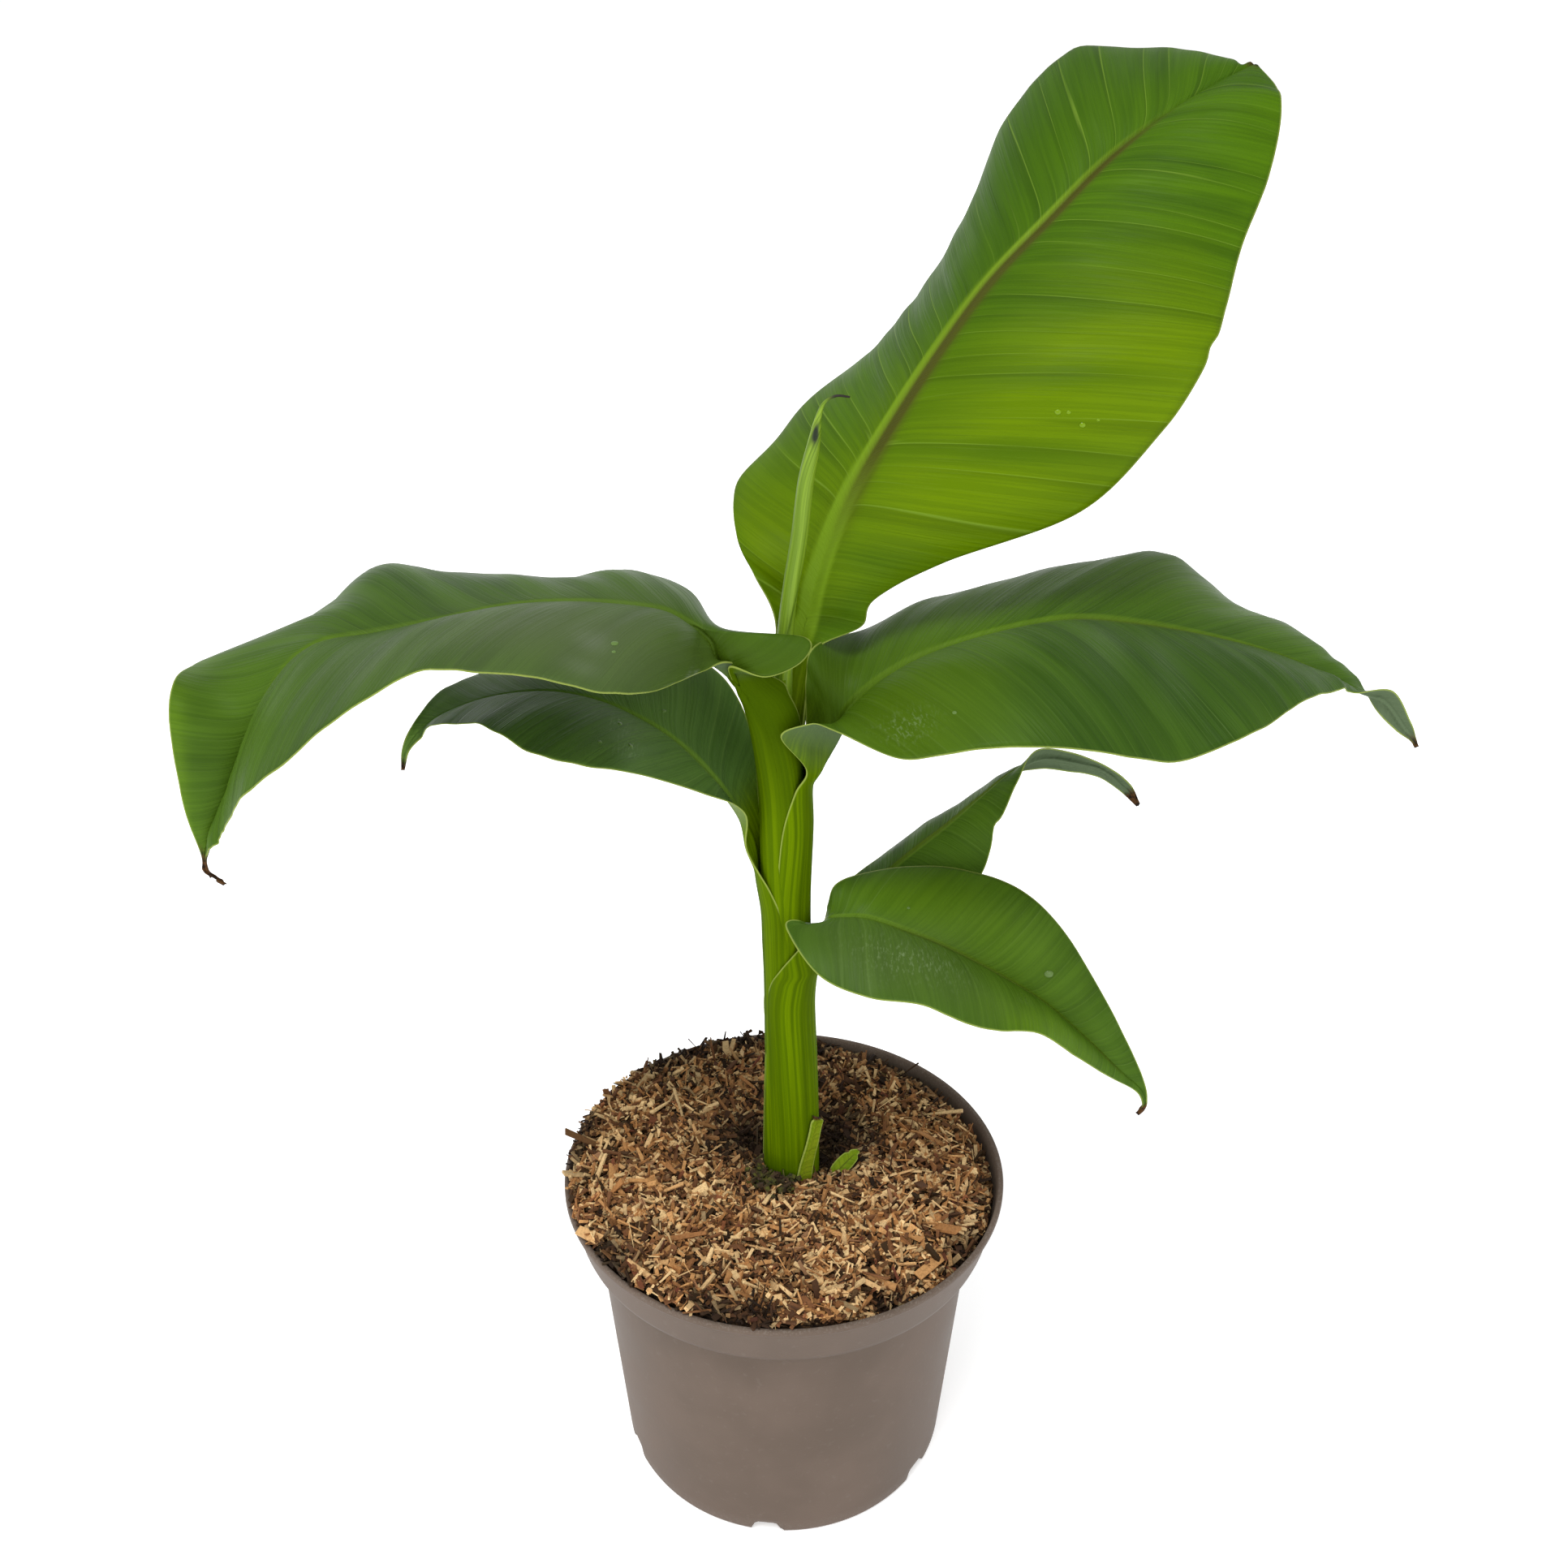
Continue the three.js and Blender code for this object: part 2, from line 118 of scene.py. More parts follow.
UPPER_LEFT_LEAF = [
    [[-7, -14, 514], [9, -8, 522], [-18, -9, 518]],
    [[-14, -14, 532], [3, -11, 541], [-22, -10, 536]],
    [[-26, -14, 548], [-3, -11, 550], [-29, -21, 561]],
    [[-35, -14, 561], [-29, -18, 562], [-9, -22, 556]],
    [[-38, -15, 572], [-42, -30, 562], [10, -20, 564]],
    [[-43, -15, 578], [-47, -46, 566], [11, -15, 575]],
    [[-48, -15, 582], [-52, -62, 570], [-32, -6, 577]],
    [[-63, -16, 591], [-66, -94, 577], [-54, 54, 575]],
    [[-90, -17, 595], [-86, -106, 582], [-89, 70, 582]],
    [[-116, -18, 596], [-114, -108, 590], [-122, 71, 575]],
    [[-145, -20, 594], [-142, -110, 594], [-152, 70, 578]],
    [[-180, -23, 587], [-172, -111, 593], [-193, 68, 584]],
    [[-211, -26, 582], [-212, -112, 568], [-230, 62, 589]],
    [[-240, -30, 578], [-244, -106, 541], [-270, 46, 560]],
    [[-260, -38, 562], [-266, -98, 520], [-314, 12, 553]],
    [[-278, -46, 528], [-290, -70, 490], [-313, -46, 557]],
    [[-296, -53, 492], [-300, -63, 476], [-314, -55, 504]],
    [[-307, -57, 468], [-306, -58, 467], [-309, -57, 469]],
    [[-307, -58, 458], [-305, -58, 457], [-309, -58, 459]],
    [[-299, -58, 452], [-298, -58, 451], [-300, -58, 454]],
]

UPPER_RIGHT_LEAF = [
    [[21, -3, 496], [11, -1, 501], [12, -17, 499]],
    [[25, -4, 506], [12, 4, 524], [-2, -25, 523]],
    [[29, -4, 517], [12, 4, 546], [14, -23, 529]],
    [[35, -4, 530], [17, 8, 562], [29, -32, 528]],
    [[52, -3, 547], [46, 56, 554], [59, -60, 526]],
    [[79, -1, 562], [80, 77, 562], [84, -80, 539]],
    [[117, 3, 573], [136, 91, 572], [122, -87, 546]],
    [[154, 7, 578], [186, 97, 582], [161, -83, 540]],
    [[190, 11, 574], [226, 95, 586], [200, -72, 531]],
    [[227, 15, 566], [264, 83, 561], [238, -60, 541]],
    [[265, 18, 555], [292, 60, 554], [271, -31, 545]],
    [[297, 20, 542], [311, 41, 542], [301, -2, 541]],
    [[320, 21, 531], [325, 31, 530], [314, 11, 533]],
    [[336, 20, 524], [333, 21, 518], [339, 19, 531]],
    [[349, 18, 509], [345, 18, 507], [353, 18, 512]],
    [[356, 17, 502], [354, 17, 501], [357, 17, 503]],
    [[358, 16, 498], [357, 16, 497], [359, 16, 498]],
]

LOWER_LEFT_LEAF = [
    [[-18, 0, 446], [-21, -9, 444], [-12, 9, 452]],
    [[-30, -2, 474], [-22, -13, 470], [-16, 16, 484]],
    [[-45, -2, 495], [-46, -17, 485], [-22, 32, 510]],
    [[-62, 0, 511], [-70, -40, 506], [-34, 52, 524]],
    [[-80, 2, 522], [-84, -63, 521], [-55, 68, 530]],
    [[-100, 4, 531], [-102, -73, 528], [-90, 79, 533]],
    [[-123, 5, 536], [-125, -71, 534], [-124, 80, 532]],
    [[-145, 7, 535], [-144, -58, 538], [-152, 71, 529]],
    [[-168, 8, 530], [-164, -37, 536], [-174, 54, 528]],
    [[-189, 9, 521], [-190, -12, 522], [-195, 30, 524]],
    [[-204, 9, 510], [-203, 5, 507], [-208, 12, 512]],
    [[-212, 8, 499], [-210, 7, 498], [-214, 9, 500]],
    [[-215, 8, 487], [-214, 8, 487], [-216, 8, 487]],
]

LOWER_RIGHT_FRONT_LEAF = [
    [[23, -6, 387], [23, 0, 392], [14, -16, 392]],
    [[25, -9, 399], [26, 2, 402], [9, -20, 405]],
    [[37, -11, 402], [30, 8, 412], [1, -25, 404]],
    [[50, -13, 402], [45, 16, 415], [19, -48, 387]],
    [[70, -16, 396], [75, 23, 416], [47, -62, 381]],
    [[93, -21, 388], [105, 16, 418], [79, -73, 382]],
    [[121, -27, 375], [136, -5, 417], [111, -73, 367]],
    [[150, -33, 358], [162, -14, 394], [141, -66, 360]],
    [[176, -39, 336], [187, -28, 356], [165, -57, 337]],
    [[196, -43, 317], [203, -38, 327], [190, -46, 314]],
    [[209, -45, 305], [212, -44, 307], [206, -46, 304]],
    [[213, -46, 296], [214, -46, 296], [211, -46, 295]],
    [[211, -46, 291], [213, -46, 290], [210, -46, 290]],
    [[209, -46, 287], [210, -46, 286], [208, -46, 288]],
]

LOWER_RIGHT_BACK_LEAF = [
    [[25, 13, 370], [20, 16, 372], [28, 9, 368]],
    [[36, 22, 388], [29, 29, 392], [46, 17, 384]],
    [[54, 32, 399], [46, 48, 398], [72, 21, 384]],
    [[76, 40, 415], [69, 62, 409], [97, 22, 393]],
    [[98, 45, 432], [93, 71, 422], [117, 24, 408]],
    [[120, 48, 452], [115, 72, 436], [126, 28, 439]],
    [[136, 51, 465], [132, 66, 453], [137, 38, 464]],
    [[152, 52, 473], [154, 54, 465], [150, 50, 479]],
    [[172, 56, 469], [172, 56, 462], [172, 56, 475]],
    [[191, 60, 462], [189, 60, 457], [193, 60, 465]],
    [[207, 62, 449], [204, 62, 447], [210, 62, 452]],
    [[217, 62, 437], [216, 62, 436], [218, 62, 438]],
]

SHEATH_STUB = [
    [[7.2, -18, 197.7], [4.1, -19, 197.9], [15.6, -14, 194.7]],
    [[10.3, -18, 212.3], [7.7, -19, 212.6], [17.5, -14, 209.5]],
    [[12.8, -17, 225.3], [10.2, -18, 225.5], [19, -13, 223.1]],
    [[16.2, -16, 238.7], [13.7, -17, 238.9], [21.4, -12, 236.6]],
    [[18.7, -14, 249.8], [16.2, -15, 250.7], [23.4, -10, 247.8]],
    [[20.2, -13, 257.3], [17.1, -14, 260], [25.4, -8, 253.9]],
]

CUT_STUMP = [
    [[29.6, -9, 202.4], [28.5, -8.3, 203.1], [30.7, -9.7, 201.7]],
    [[32.2, -7, 206.6], [29.3, -5, 208.6], [35.1, -9, 205]],
    [[35.9, -5, 210.2], [32.3, -2.5, 212.7], [39.4, -7.5, 208.1]],
    [[40, -3, 213.8], [36.4, -0.5, 216.3], [43.6, -5.5, 211.7]],
    [[44.2, -1, 217.4], [41.3, 1, 219.4], [47.1, -3, 215.7]],
    [[47.9, 1, 219.7], [47.2, 1.5, 220.2], [48.6, 0.5, 219.2]],
]


# Small helpers

def to_linear(hex_colour):
    """An sRGB hex colour as linear RGBA."""
    channels = [int(hex_colour[i:i + 2], 16) / 255 for i in (1, 3, 5)]
    linear = [c / 12.92 if c <= 0.04045 else ((c + 0.055) / 1.055) ** 2.4 for c in channels]
    return (*linear, 1)


def smoothstep(low, high, value):
    t = min(1, max(0, (value - low) / (high - low)))
    return t * t * (3 - 2 * t)


def ripple(*place):
    """Smooth noise between -1 and 1 at a place of up to three values."""
    return noise.noise(Vector((*place, 0, 0)[:3]))


def catmull_rom(a, b, c, d, t):
    square = 2 * a - 5 * b + 4 * c - d
    cube = 3 * b - a - 3 * c + d
    return 0.5 * (2 * b + (c - a) * t + square * t * t + cube * t * t * t)


def sample_rows(rows, steps):
    """Rows of equal length, drawn out into steps + 1 rows on a smooth curve through them."""
    last = len(rows) - 1
    before = [2 * end - inner for end, inner in zip(rows[0], rows[1])]
    after = [2 * end - inner for end, inner in zip(rows[last], rows[last - 1])]
    padded = [before, *rows, after]
    samples = []
    for step in range(steps + 1):
        place = last * step / steps
        span = min(int(place), last - 1)
        four = padded[span:span + 4]
        samples.append([catmull_rom(*values, place - span) for values in zip(*four)])
    return samples


def stem_at(height):
    """Centre and radius of the pseudostem at a height."""
    stations = STEM_STATIONS
    for (low, low_radius), (high, high_radius) in zip(stations, stations[1:]):
        if height <= high[2]:
            break
    t = min(1, max(0, (height - low[2]) / (high[2] - low[2])))
    centre = Vector(low).lerp(Vector(high), t)
    centre.z = height
    return centre, low_radius + (high_radius - low_radius) * t


def add_object(name, data):
    """An object with its data, linked into the scene."""
    item = bpy.data.objects.new(name, data)
    bpy.context.scene.collection.objects.link(item)
    return item


def add_piece(name, bm, material, nodes=()):
    """A finished bmesh becomes a smooth piece of the plant."""
    mesh = bpy.data.meshes.new(name)
    bm.to_mesh(mesh)
    bm.free()
    mesh.polygons.foreach_set("use_smooth", [True] * len(mesh.polygons))
    place_piece(name, mesh, material, nodes)


def place_piece(name, mesh, material, nodes=()):
    """A mesh becomes an object that rides on the plant's one body."""
    mesh.materials.append(material)
    piece = add_object(name, mesh)
    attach(piece, "root")
    if nodes:
        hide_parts(*nodes)


def indexed_grid(bm, rows, columns):
    """A grid of vertices, each with the row and the column that it stands in."""
    grid = bmesh.ops.create_grid(bm, x_segments=rows, y_segments=columns, size=1)["verts"]
    return {vert: (round((vert.co.x + 1) / 2 * rows), round((vert.co.y + 1) / 2 * columns)) for vert in grid}


def lay_uv(bm, uv_layer, uv_values):
    """Gives every corner the UV of its vertex."""
    for face in bm.faces:
        for loop in face.loops:
            loop[uv_layer].uv = uv_values[loop.vert]


# Materials

FINE_LINE_MM = 1.7
SHEATH_LENGTH_MM = 300
# The masks include patches of painted light, painted shade and painted sheen that stand in for how light
# falls on each leaf
LEAF_MASKS = ("rim", "rib", "groove", "sheath", "under", "painted_light", "painted_shade", "painted_sheen", "scuff", "dry", "wet",
              "painted_deep_shade")


def new_material(name):
    material = bpy.data.materials.new(name)
    material.use_nodes = True
    tree = material.node_tree
    return material, tree, tree.nodes["Principled BSDF"]


def set_inputs(tree, node, inputs):
    """Links each input to the socket given for it, or sets it to a number, a tuple or a hex colour."""
    for key, value in inputs.items():
        if isinstance(value, bpy.types.NodeSocket):
            tree.links.new(value, node.inputs[key])
        else:
            node.inputs[key].default_value = to_linear(value) if isinstance(value, str) else value


def add_node(tree, kind, inputs=None, output=0, **settings):
    """Adds a shader node with its settings and inputs, and gives one of its outputs."""
    node = tree.nodes.new("ShaderNode" + kind)
    for key, value in settings.items():
        setattr(node, key, value)
    set_inputs(tree, node, inputs or {})
    return node.outputs[output]


def attributes(tree, keys):
    """The masks that a piece's vertices carry, by name."""
    return {key: add_node(tree, "Attribute", output=2, attribute_name=key) for key in keys}


def grain(tree, coordinates, across_mm, along_mm, seed, low, high, strength=1.0):
    """A mask of soft grain with a real size: across_mm along the first axis and along_mm along the second.

    Noise under low gives nothing and noise over high the full strength.
    """
    scale = (1000 / across_mm, 1000 / along_mm, 1000 / across_mm)
    shift = (seed * 3.7, seed * 1.9, seed * 5.3)
    mapped = add_node(tree, "Mapping", {0: coordinates, 1: shift, 3: scale})
    speckle = add_node(tree, "TexNoise", {"Vector": mapped, "Scale": 1.0, "Detail": 3.0, "Roughness": 0.6})
    limits = {0: speckle, 1: low, 2: high, 3: 0.0, 4: strength}
    return add_node(tree, "MapRange", limits, interpolation_type="SMOOTHSTEP")


def lay_coats(tree, ground, coats):
    """Lays colours over a ground colour in turn, each through a mask. A stain darkens what is under it."""
    for mask, coat, *stain in coats:
        blend = "MULTIPLY" if stain else "MIX"
        inputs = {0: mask, 6: ground, 7: coat}
        ground = add_node(tree, "Mix", inputs, 2, data_type="RGBA", blend_type=blend)
    return ground


def sheath_grain(tree, uv):
    """Fine ribs along a sheath, and the broader shade between them."""
    ribs = grain(tree, uv, SHEATH_LENGTH_MM, FINE_LINE_MM, 6, 0.38, 0.62, 0.8)
    shade = grain(tree, uv, 190, 6, 7, 0.35, 0.7, 0.65)
    return ribs, shade


def leaf_material(name, tones, roughness):
    """Living banana leaf: a waxy cuticle over parallel veins that sweep out from a channelled midrib.

    The eye gets a soft sheen, faint stripes along the veins, a thin pale margin and a dry brown tip. Patches
    of painted light, painted shade and painted sheen stand in for how light falls on each leaf, and a
    painted shadow runs along one flank of each vein. The finest veins are under 1 mm apart, and are drawn
    1.7 mm apart so that they show.
    """
    material, tree, shader = new_material(name)
    uv = add_node(tree, "UVMap", uv_map="blade")
    phase = add_node(tree, "SeparateXYZ", {0: uv})
    masks = attributes(tree, LEAF_MASKS)
    space = add_node(tree, "TexCoord", output=3)

    # Side veins: the phase counts them, a thread marks each one and a furrow, dented into the relief,
    # carries a painted shadow on one flank
    bands = grain(tree, uv, 10, 190, 1, 0.35, 0.7, 0.55)
    fine = grain(tree, uv, FINE_LINE_MM, 90, 2, 0.38, 0.62, 0.3)
    clouds = grain(tree, uv, 26, 120, 5, 0.36, 0.66)
    drift = grain(tree, uv, 30, 900, 3, 0.25, 0.75, 0.9)
    turns = {0: phase, 1: 1000 / tones["vein_mm"], 2: drift}
    turns = add_node(tree, "Math", turns, operation="MULTIPLY_ADD")
    saw = add_node(tree, "Math", {0: turns, 1: 0.5}, operation="PINGPONG")
    thread = {0: saw, 1: 0.032, 2: 0.0, 3: 0.0, 4: 1.0}
    thread = add_node(tree, "MapRange", thread, interpolation_type="SMOOTHSTEP")
    faint = grain(tree, uv, 13, 260, 4, 0.42, 0.6, tones["thread"])
    thread = add_node(tree, "Math", {0: thread, 1: faint}, operation="MULTIPLY")
    climb = add_node(tree, "Math", {0: turns}, operation="FRACT")
    furrow_shadow = {0: climb, 1: 0.6, 2: 0.97, 3: 0.0, 4: 0.5}
    furrow_shadow = add_node(tree, "MapRange", furrow_shadow, interpolation_type="SMOOTHSTEP")
    furrow_shadow = add_node(tree, "Math", {0: furrow_shadow, 1: faint}, operation="MULTIPLY")
    margin = add_node(tree, "MapRange", {0: masks["rim"], 1: 1.0 * MM, 2: 0.3 * MM, 3: 0.0, 4: 0.8})

    # Sheath, scratches and the bare underside
    ribs, shade = sheath_grain(tree, uv)
    stalk = lay_coats(tree, tones["stalk"], [(ribs, tones["stalk_line"]), (shade, tones["stalk_deep"])])
    scratches = grain(tree, space, 1.4, 7, 8, 0.5, 0.68, 0.7)
    scratches = add_node(tree, "Math", {0: scratches, 1: masks["scuff"]}, operation="MULTIPLY")
    bare = {0: masks["under"], 1: masks["sheath"]}
    bare = add_node(tree, "Math", bare, operation="SUBTRACT", use_clamp=True)
    dry = lay_coats(tree, "#1d130b", [(grain(tree, space, 2.5, 2.5, 9, 0.4, 0.6), "#4d3319")])
    # Patches of painted light and painted shade, a painted shadow along one flank of each vein, a painted
    # sheen and painted shade over the stalks go on in turn
    colour = lay_coats(tree, tones["deep"], [
        (clouds, tones["mid"]), (bands, tones["mid"]), (masks["painted_light"], tones["painted_light"]),
        (masks["painted_shade"], tones["deep"]), (fine, "#bccbac", "stain"), (furrow_shadow, "#5f7050", "stain"),
        (thread, tones["vein"]), (masks["painted_sheen"], tones["painted_sheen"]), (masks["rib"], tones["rib"]),
        (masks["groove"], "#454715"), (masks["sheath"], stalk), (masks["painted_deep_shade"], tones["stalk_deep"]),
        (bare, tones["under"]), (margin, tones["margin"]), (scratches, "#8fa277"), (masks["dry"], dry),
    ])

    # Sheen: duller underneath, brighter where it is wet
    dull = {0: bands, 1: 0.0, 2: 0.45, 3: roughness - 0.03, 4: roughness + 0.05}
    dull = add_node(tree, "MapRange", dull)
    dull = add_node(tree, "Math", {0: masks["under"], 1: 0.2, 2: dull}, operation="MULTIPLY_ADD")
    dull = add_node(tree, "Mix", {0: masks["wet"], 2: dull, 3: 0.1}, data_type="FLOAT")
    shine = add_node(tree, "MapRange", {0: masks["sheath"], 1: 0.0, 2: 1.0, 3: tones["shine"], 4: 0.02})
    shine = add_node(tree, "Mix", {0: masks["wet"], 2: shine, 3: 0.6}, data_type="FLOAT")

    # Relief: fine veins on the open blade, ribs on the sheath
    open_blade = add_node(tree, "Math", {0: 1.0, 1: masks["sheath"]}, operation="SUBTRACT")
    height = add_node(tree, "Math", {0: fine, 1: furrow_shadow}, operation="SUBTRACT")
    height = add_node(tree, "Math", {0: height, 1: open_blade}, operation="MULTIPLY")
    relief = add_node(tree, "Bump", {"Height": height, "Strength": 0.6, "Distance": 0.8 * MM})
    cords = add_node(tree, "Math", {0: ribs, 1: masks["sheath"]}, operation="MULTIPLY")
    relief = {"Height": cords, "Strength": 0.5, "Distance": 0.25 * MM, "Normal": relief}
    relief = add_node(tree, "Bump", relief)
    set_inputs(tree, shader, {"Base Color": colour, "Roughness": dull, "IOR": 1.45,
                              "Specular IOR Level": shine, "Normal": relief})
    return material


def stem_material():
    """Fresh leaf sheaths: smooth and striped along their length, with moss and dirt at the foot."""
    material, tree, shader = new_material("fresh_sheath")
    uv = add_node(tree, "UVMap", uv_map="blade")
    space = add_node(tree, "TexCoord", output=3)
    ribs, shade = sheath_grain(tree, uv)
    masks = attributes(tree, ["moss"])
    moss = lay_coats(tree, "#1c2408", [(grain(tree, space, 3, 3, 9, 0.3, 0.6), "#4a5a12")])
    colour = lay_coats(tree, "#506a00", [(ribs, "#678100"), (shade, "#3a5000"), (masks["moss"], moss)])
    relief = add_node(tree, "Bump", {"Height": ribs, "Strength": 0.5, "Distance": 0.25 * MM})
    set_inputs(tree, shader, {"Base Color": colour, "Roughness": 0.4, "Specular IOR Level": 0.04,
                              "Normal": relief})
    return material


def rolled_material():
    """Unopened leaf: pale, matt and finely lined along the roll, with the seam of each turn darker and
    painted shade in its mouth.
    """
    material, tree, shader = new_material("rolled_leaf_skin")
    uv = add_node(tree, "UVMap", uv_map="blade")
    masks = attributes(tree, ["seam", "painted_hollow_shade", "dry"])
    lines = grain(tree, uv, 130, 1.3, 8, 0.35, 0.68)
    colour = lay_coats(tree, "#5c7a0c", [(lines, "#809e26"), (masks["seam"], "#3f5c0a"),
                                         (masks["painted_hollow_shade"], "#16220a"), (masks["dry"], "#1d130b")])
    relief = add_node(tree, "Bump", {"Height": lines, "Strength": 0.4, "Distance": 0.2 * MM})
    set_inputs(tree, shader, {"Base Color": colour, "Roughness": 0.45, "Specular IOR Level": 0.3,
                              "Normal": relief})
    return material


def pot_material():
    """Injection-moulded polypropylene: even satin taupe with a fine moulded grain, dust, rubbed edges and
    painted shade under the band.
    """
    material, tree, shader = new_material("moulded_polypropylene")
    space = add_node(tree, "TexCoord", output=3)
    masks = attributes(tree, ["worn", "painted_band_shade"])
    cloud = grain(tree, space, 70, 70, 1, 0.3, 0.7)
    dust = grain(tree, space, 5, 5, 2, 0.58, 0.74, 0.16)
    spots = grain(tree, space, 1.4, 1.4, 3, 0.7, 0.76, 0.25)
    scrapes = grain(tree, space, 1.2, 1.2, 5, 0.5, 0.62)
    rubbed = add_node(tree, "Math", {0: scrapes, 1: masks["worn"]}, operation="MULTIPLY")
    colour = lay_coats(tree, "#5f5248", [(cloud, "#685a50"), (dust, "#7a7066"), (spots, "#463d37"),
                                         (rubbed, "#7d7268"), (masks["painted_band_shade"], "#453a33")])
    satin = add_node(tree, "MapRange", {0: cloud, 1: 0.0, 2: 1.0, 3: 0.4, 4: 0.5})
    moulded = grain(tree, space, 1.1, 1.1, 4, 0.2, 0.8)
    relief = add_node(tree, "Bump", {"Height": moulded, "Strength": 0.25, "Distance": 0.12 * MM})
    set_inputs(tree, shader, {"Base Color": colour, "Roughness": satin, "IOR": 1.49,
                              "Specular IOR Level": 0.06, "Normal": relief})
    return material


def soil_material():
    """Peat between the chips: dark brown, deepened towards black as painted shade in the gaps, crumbly and
    dull.
    """
    material, tree, shader = new_material("peat_with_painted_gap_shade")
    crumbs = grain(tree, add_node(tree, "TexCoord", output=3), 3, 3, 1, 0.35, 0.7)
    colour = lay_coats(tree, "#160f09", [(crumbs, "#46311d")])
    relief = add_node(tree, "Bump", {"Height": crumbs, "Strength": 1.0, "Distance": 1.5 * MM})
    set_inputs(tree, shader, {"Base Color": colour, "Roughness": 0.95, "Specular IOR Level": 0.2,
                              "Normal": relief})
    return material


def chip_material():
    """Loose wood fibre and coir chips: dry split wood, each chip its own tan, straw or reddish brown, with
    painted shade low down and in the hollows and darker patches along the back and the rim.
    """
    material, tree, shader = new_material("wood_fibre_chips")
    masks = attributes(tree, ["shade", "painted_shade_and_dark_patches", "red"])
    steps = [(0.0, 0.2, "#573a26"), (0.2, 0.42, "#845837"), (0.42, 0.62, "#b27c49"),
             (0.62, 0.82, "#d6a167"), (0.82, 1.0, "#efca92")]
    coats = [(add_node(tree, "MapRange", {0: masks["shade"], 1: low, 2: high}), tone)
             for low, high, tone in steps]
    specks = grain(tree, add_node(tree, "TexCoord", output=3), 1.4, 1.4, 9, 0.4, 0.7, 0.35)
    # The last coat is painted shade on low chips and in the hollows, and darker patches along the back and
    # the rim
    coats += [(masks["red"], "#7a3f2c"), (specks, "#4a3018"), (masks["painted_shade_and_dark_patches"], "#20150d")]
    colour = lay_coats(tree, "#33230f", coats)
    set_inputs(tree, shader, {"Base Color": colour, "Roughness": 0.85, "Specular IOR Level": 0.2})
    return material


def moss_material():
    """Moss and rotted sheath round the foot of the stem: dull dark green to brown crumbs."""
    material, tree, shader = new_material("foot_moss")
    space = add_node(tree, "TexCoord", output=3)
    crumbs = grain(tree, space, 3, 3, 4, 0.35, 0.65)
    patches = grain(tree, space, 7, 7, 5, 0.4, 0.6)
    colour = lay_coats(tree, "#22230a", [(crumbs, "#545410"), (patches, "#3a2814")])
    set_inputs(tree, shader, {"Base Color": colour, "Roughness": 0.95})
    return material


def water_material(name, tint):
    """Water drops: smooth and shining, with the colour of the blade showing through."""
    material, tree, shader = new_material(name)
    set_inputs(tree, shader, {"Base Color": tint, "Roughness": 0.05, "IOR": 1.33,
                              "Specular IOR Level": 0.45})
    return material


# Leaves

ACROSS = 64
COLUMN_CROWDING = 1.35


def leaf_rows(leaf):
    """Rows from the foot of the sheath to the tip: a rib, a chord to each margin and each half's turn.

    A half is an arc from the rib to its margin. A positive turn wraps it round the stem, and a negative
    one arches it.
    """
    facing = math.radians(leaf["facing"])
    outward = Vector((math.cos(facing), math.sin(facing), 0))
    right = outward.cross(Vector((0, 0, 1)))
    rows = []
    for height, left_turn, right_turn, lift in leaf["sheath"]:
        centre, radius = stem_at(height)
        radius += leaf["offset"]
        row = [*(centre + outward * (radius + lift))]
        for side, turn in ((-1, left_turn), (1, right_turn)):
            angle = math.radians(turn)
            chord = right * side * math.sin(angle) - outward * (1 - math.cos(angle))
            row.extend(chord * (radius + lift / 2))
        rows.append([*row, left_turn, right_turn])
    for (rib, left, right_margin), turns in zip(leaf["stations"], leaf["turns"], strict=True):
        rib = Vector(rib)
        chords = [*(Vector(left) - rib), *(Vector(right_margin) - rib)]
        rows.append([*rib, *chords, *turns])
    return rows


def column_places(count):
    """Signed shares of the half width, crowded towards the midrib."""
    half = count // 2
    shares = [(abs(k) / half) ** COLUMN_CROWDING for k in range(-half, half + 1)]
    return [-share if k < half else share for k, share in enumerate(shares)]


def bell(value, centre, reach):
    """One at the centre, falling away to both sides."""
    return math.exp(-((value - centre) / reach) ** 2)


def half_point(rib, along, chord, turn_degrees, share, side):
    """A point of one half of the leaf, the direction of its upper side and its distance from the rib."""
    width = max(chord.length, 0.01)
    inward = chord.cross(along) * side
    inward.normalize()
    turn = math.radians(turn_degrees)
    if abs(turn) < 0.02:
        return rib + chord * share, inward, width * share
    radius = width / (2 * math.sin(turn / 2))
    angle = turn * (share - 0.5)
    across = width / 2 + radius * math.sin(angle)
    bulge = radius * (math.cos(angle) - math.cos(turn / 2))
    return rib + chord / width * across - inward * bulge, inward, radius * turn * share


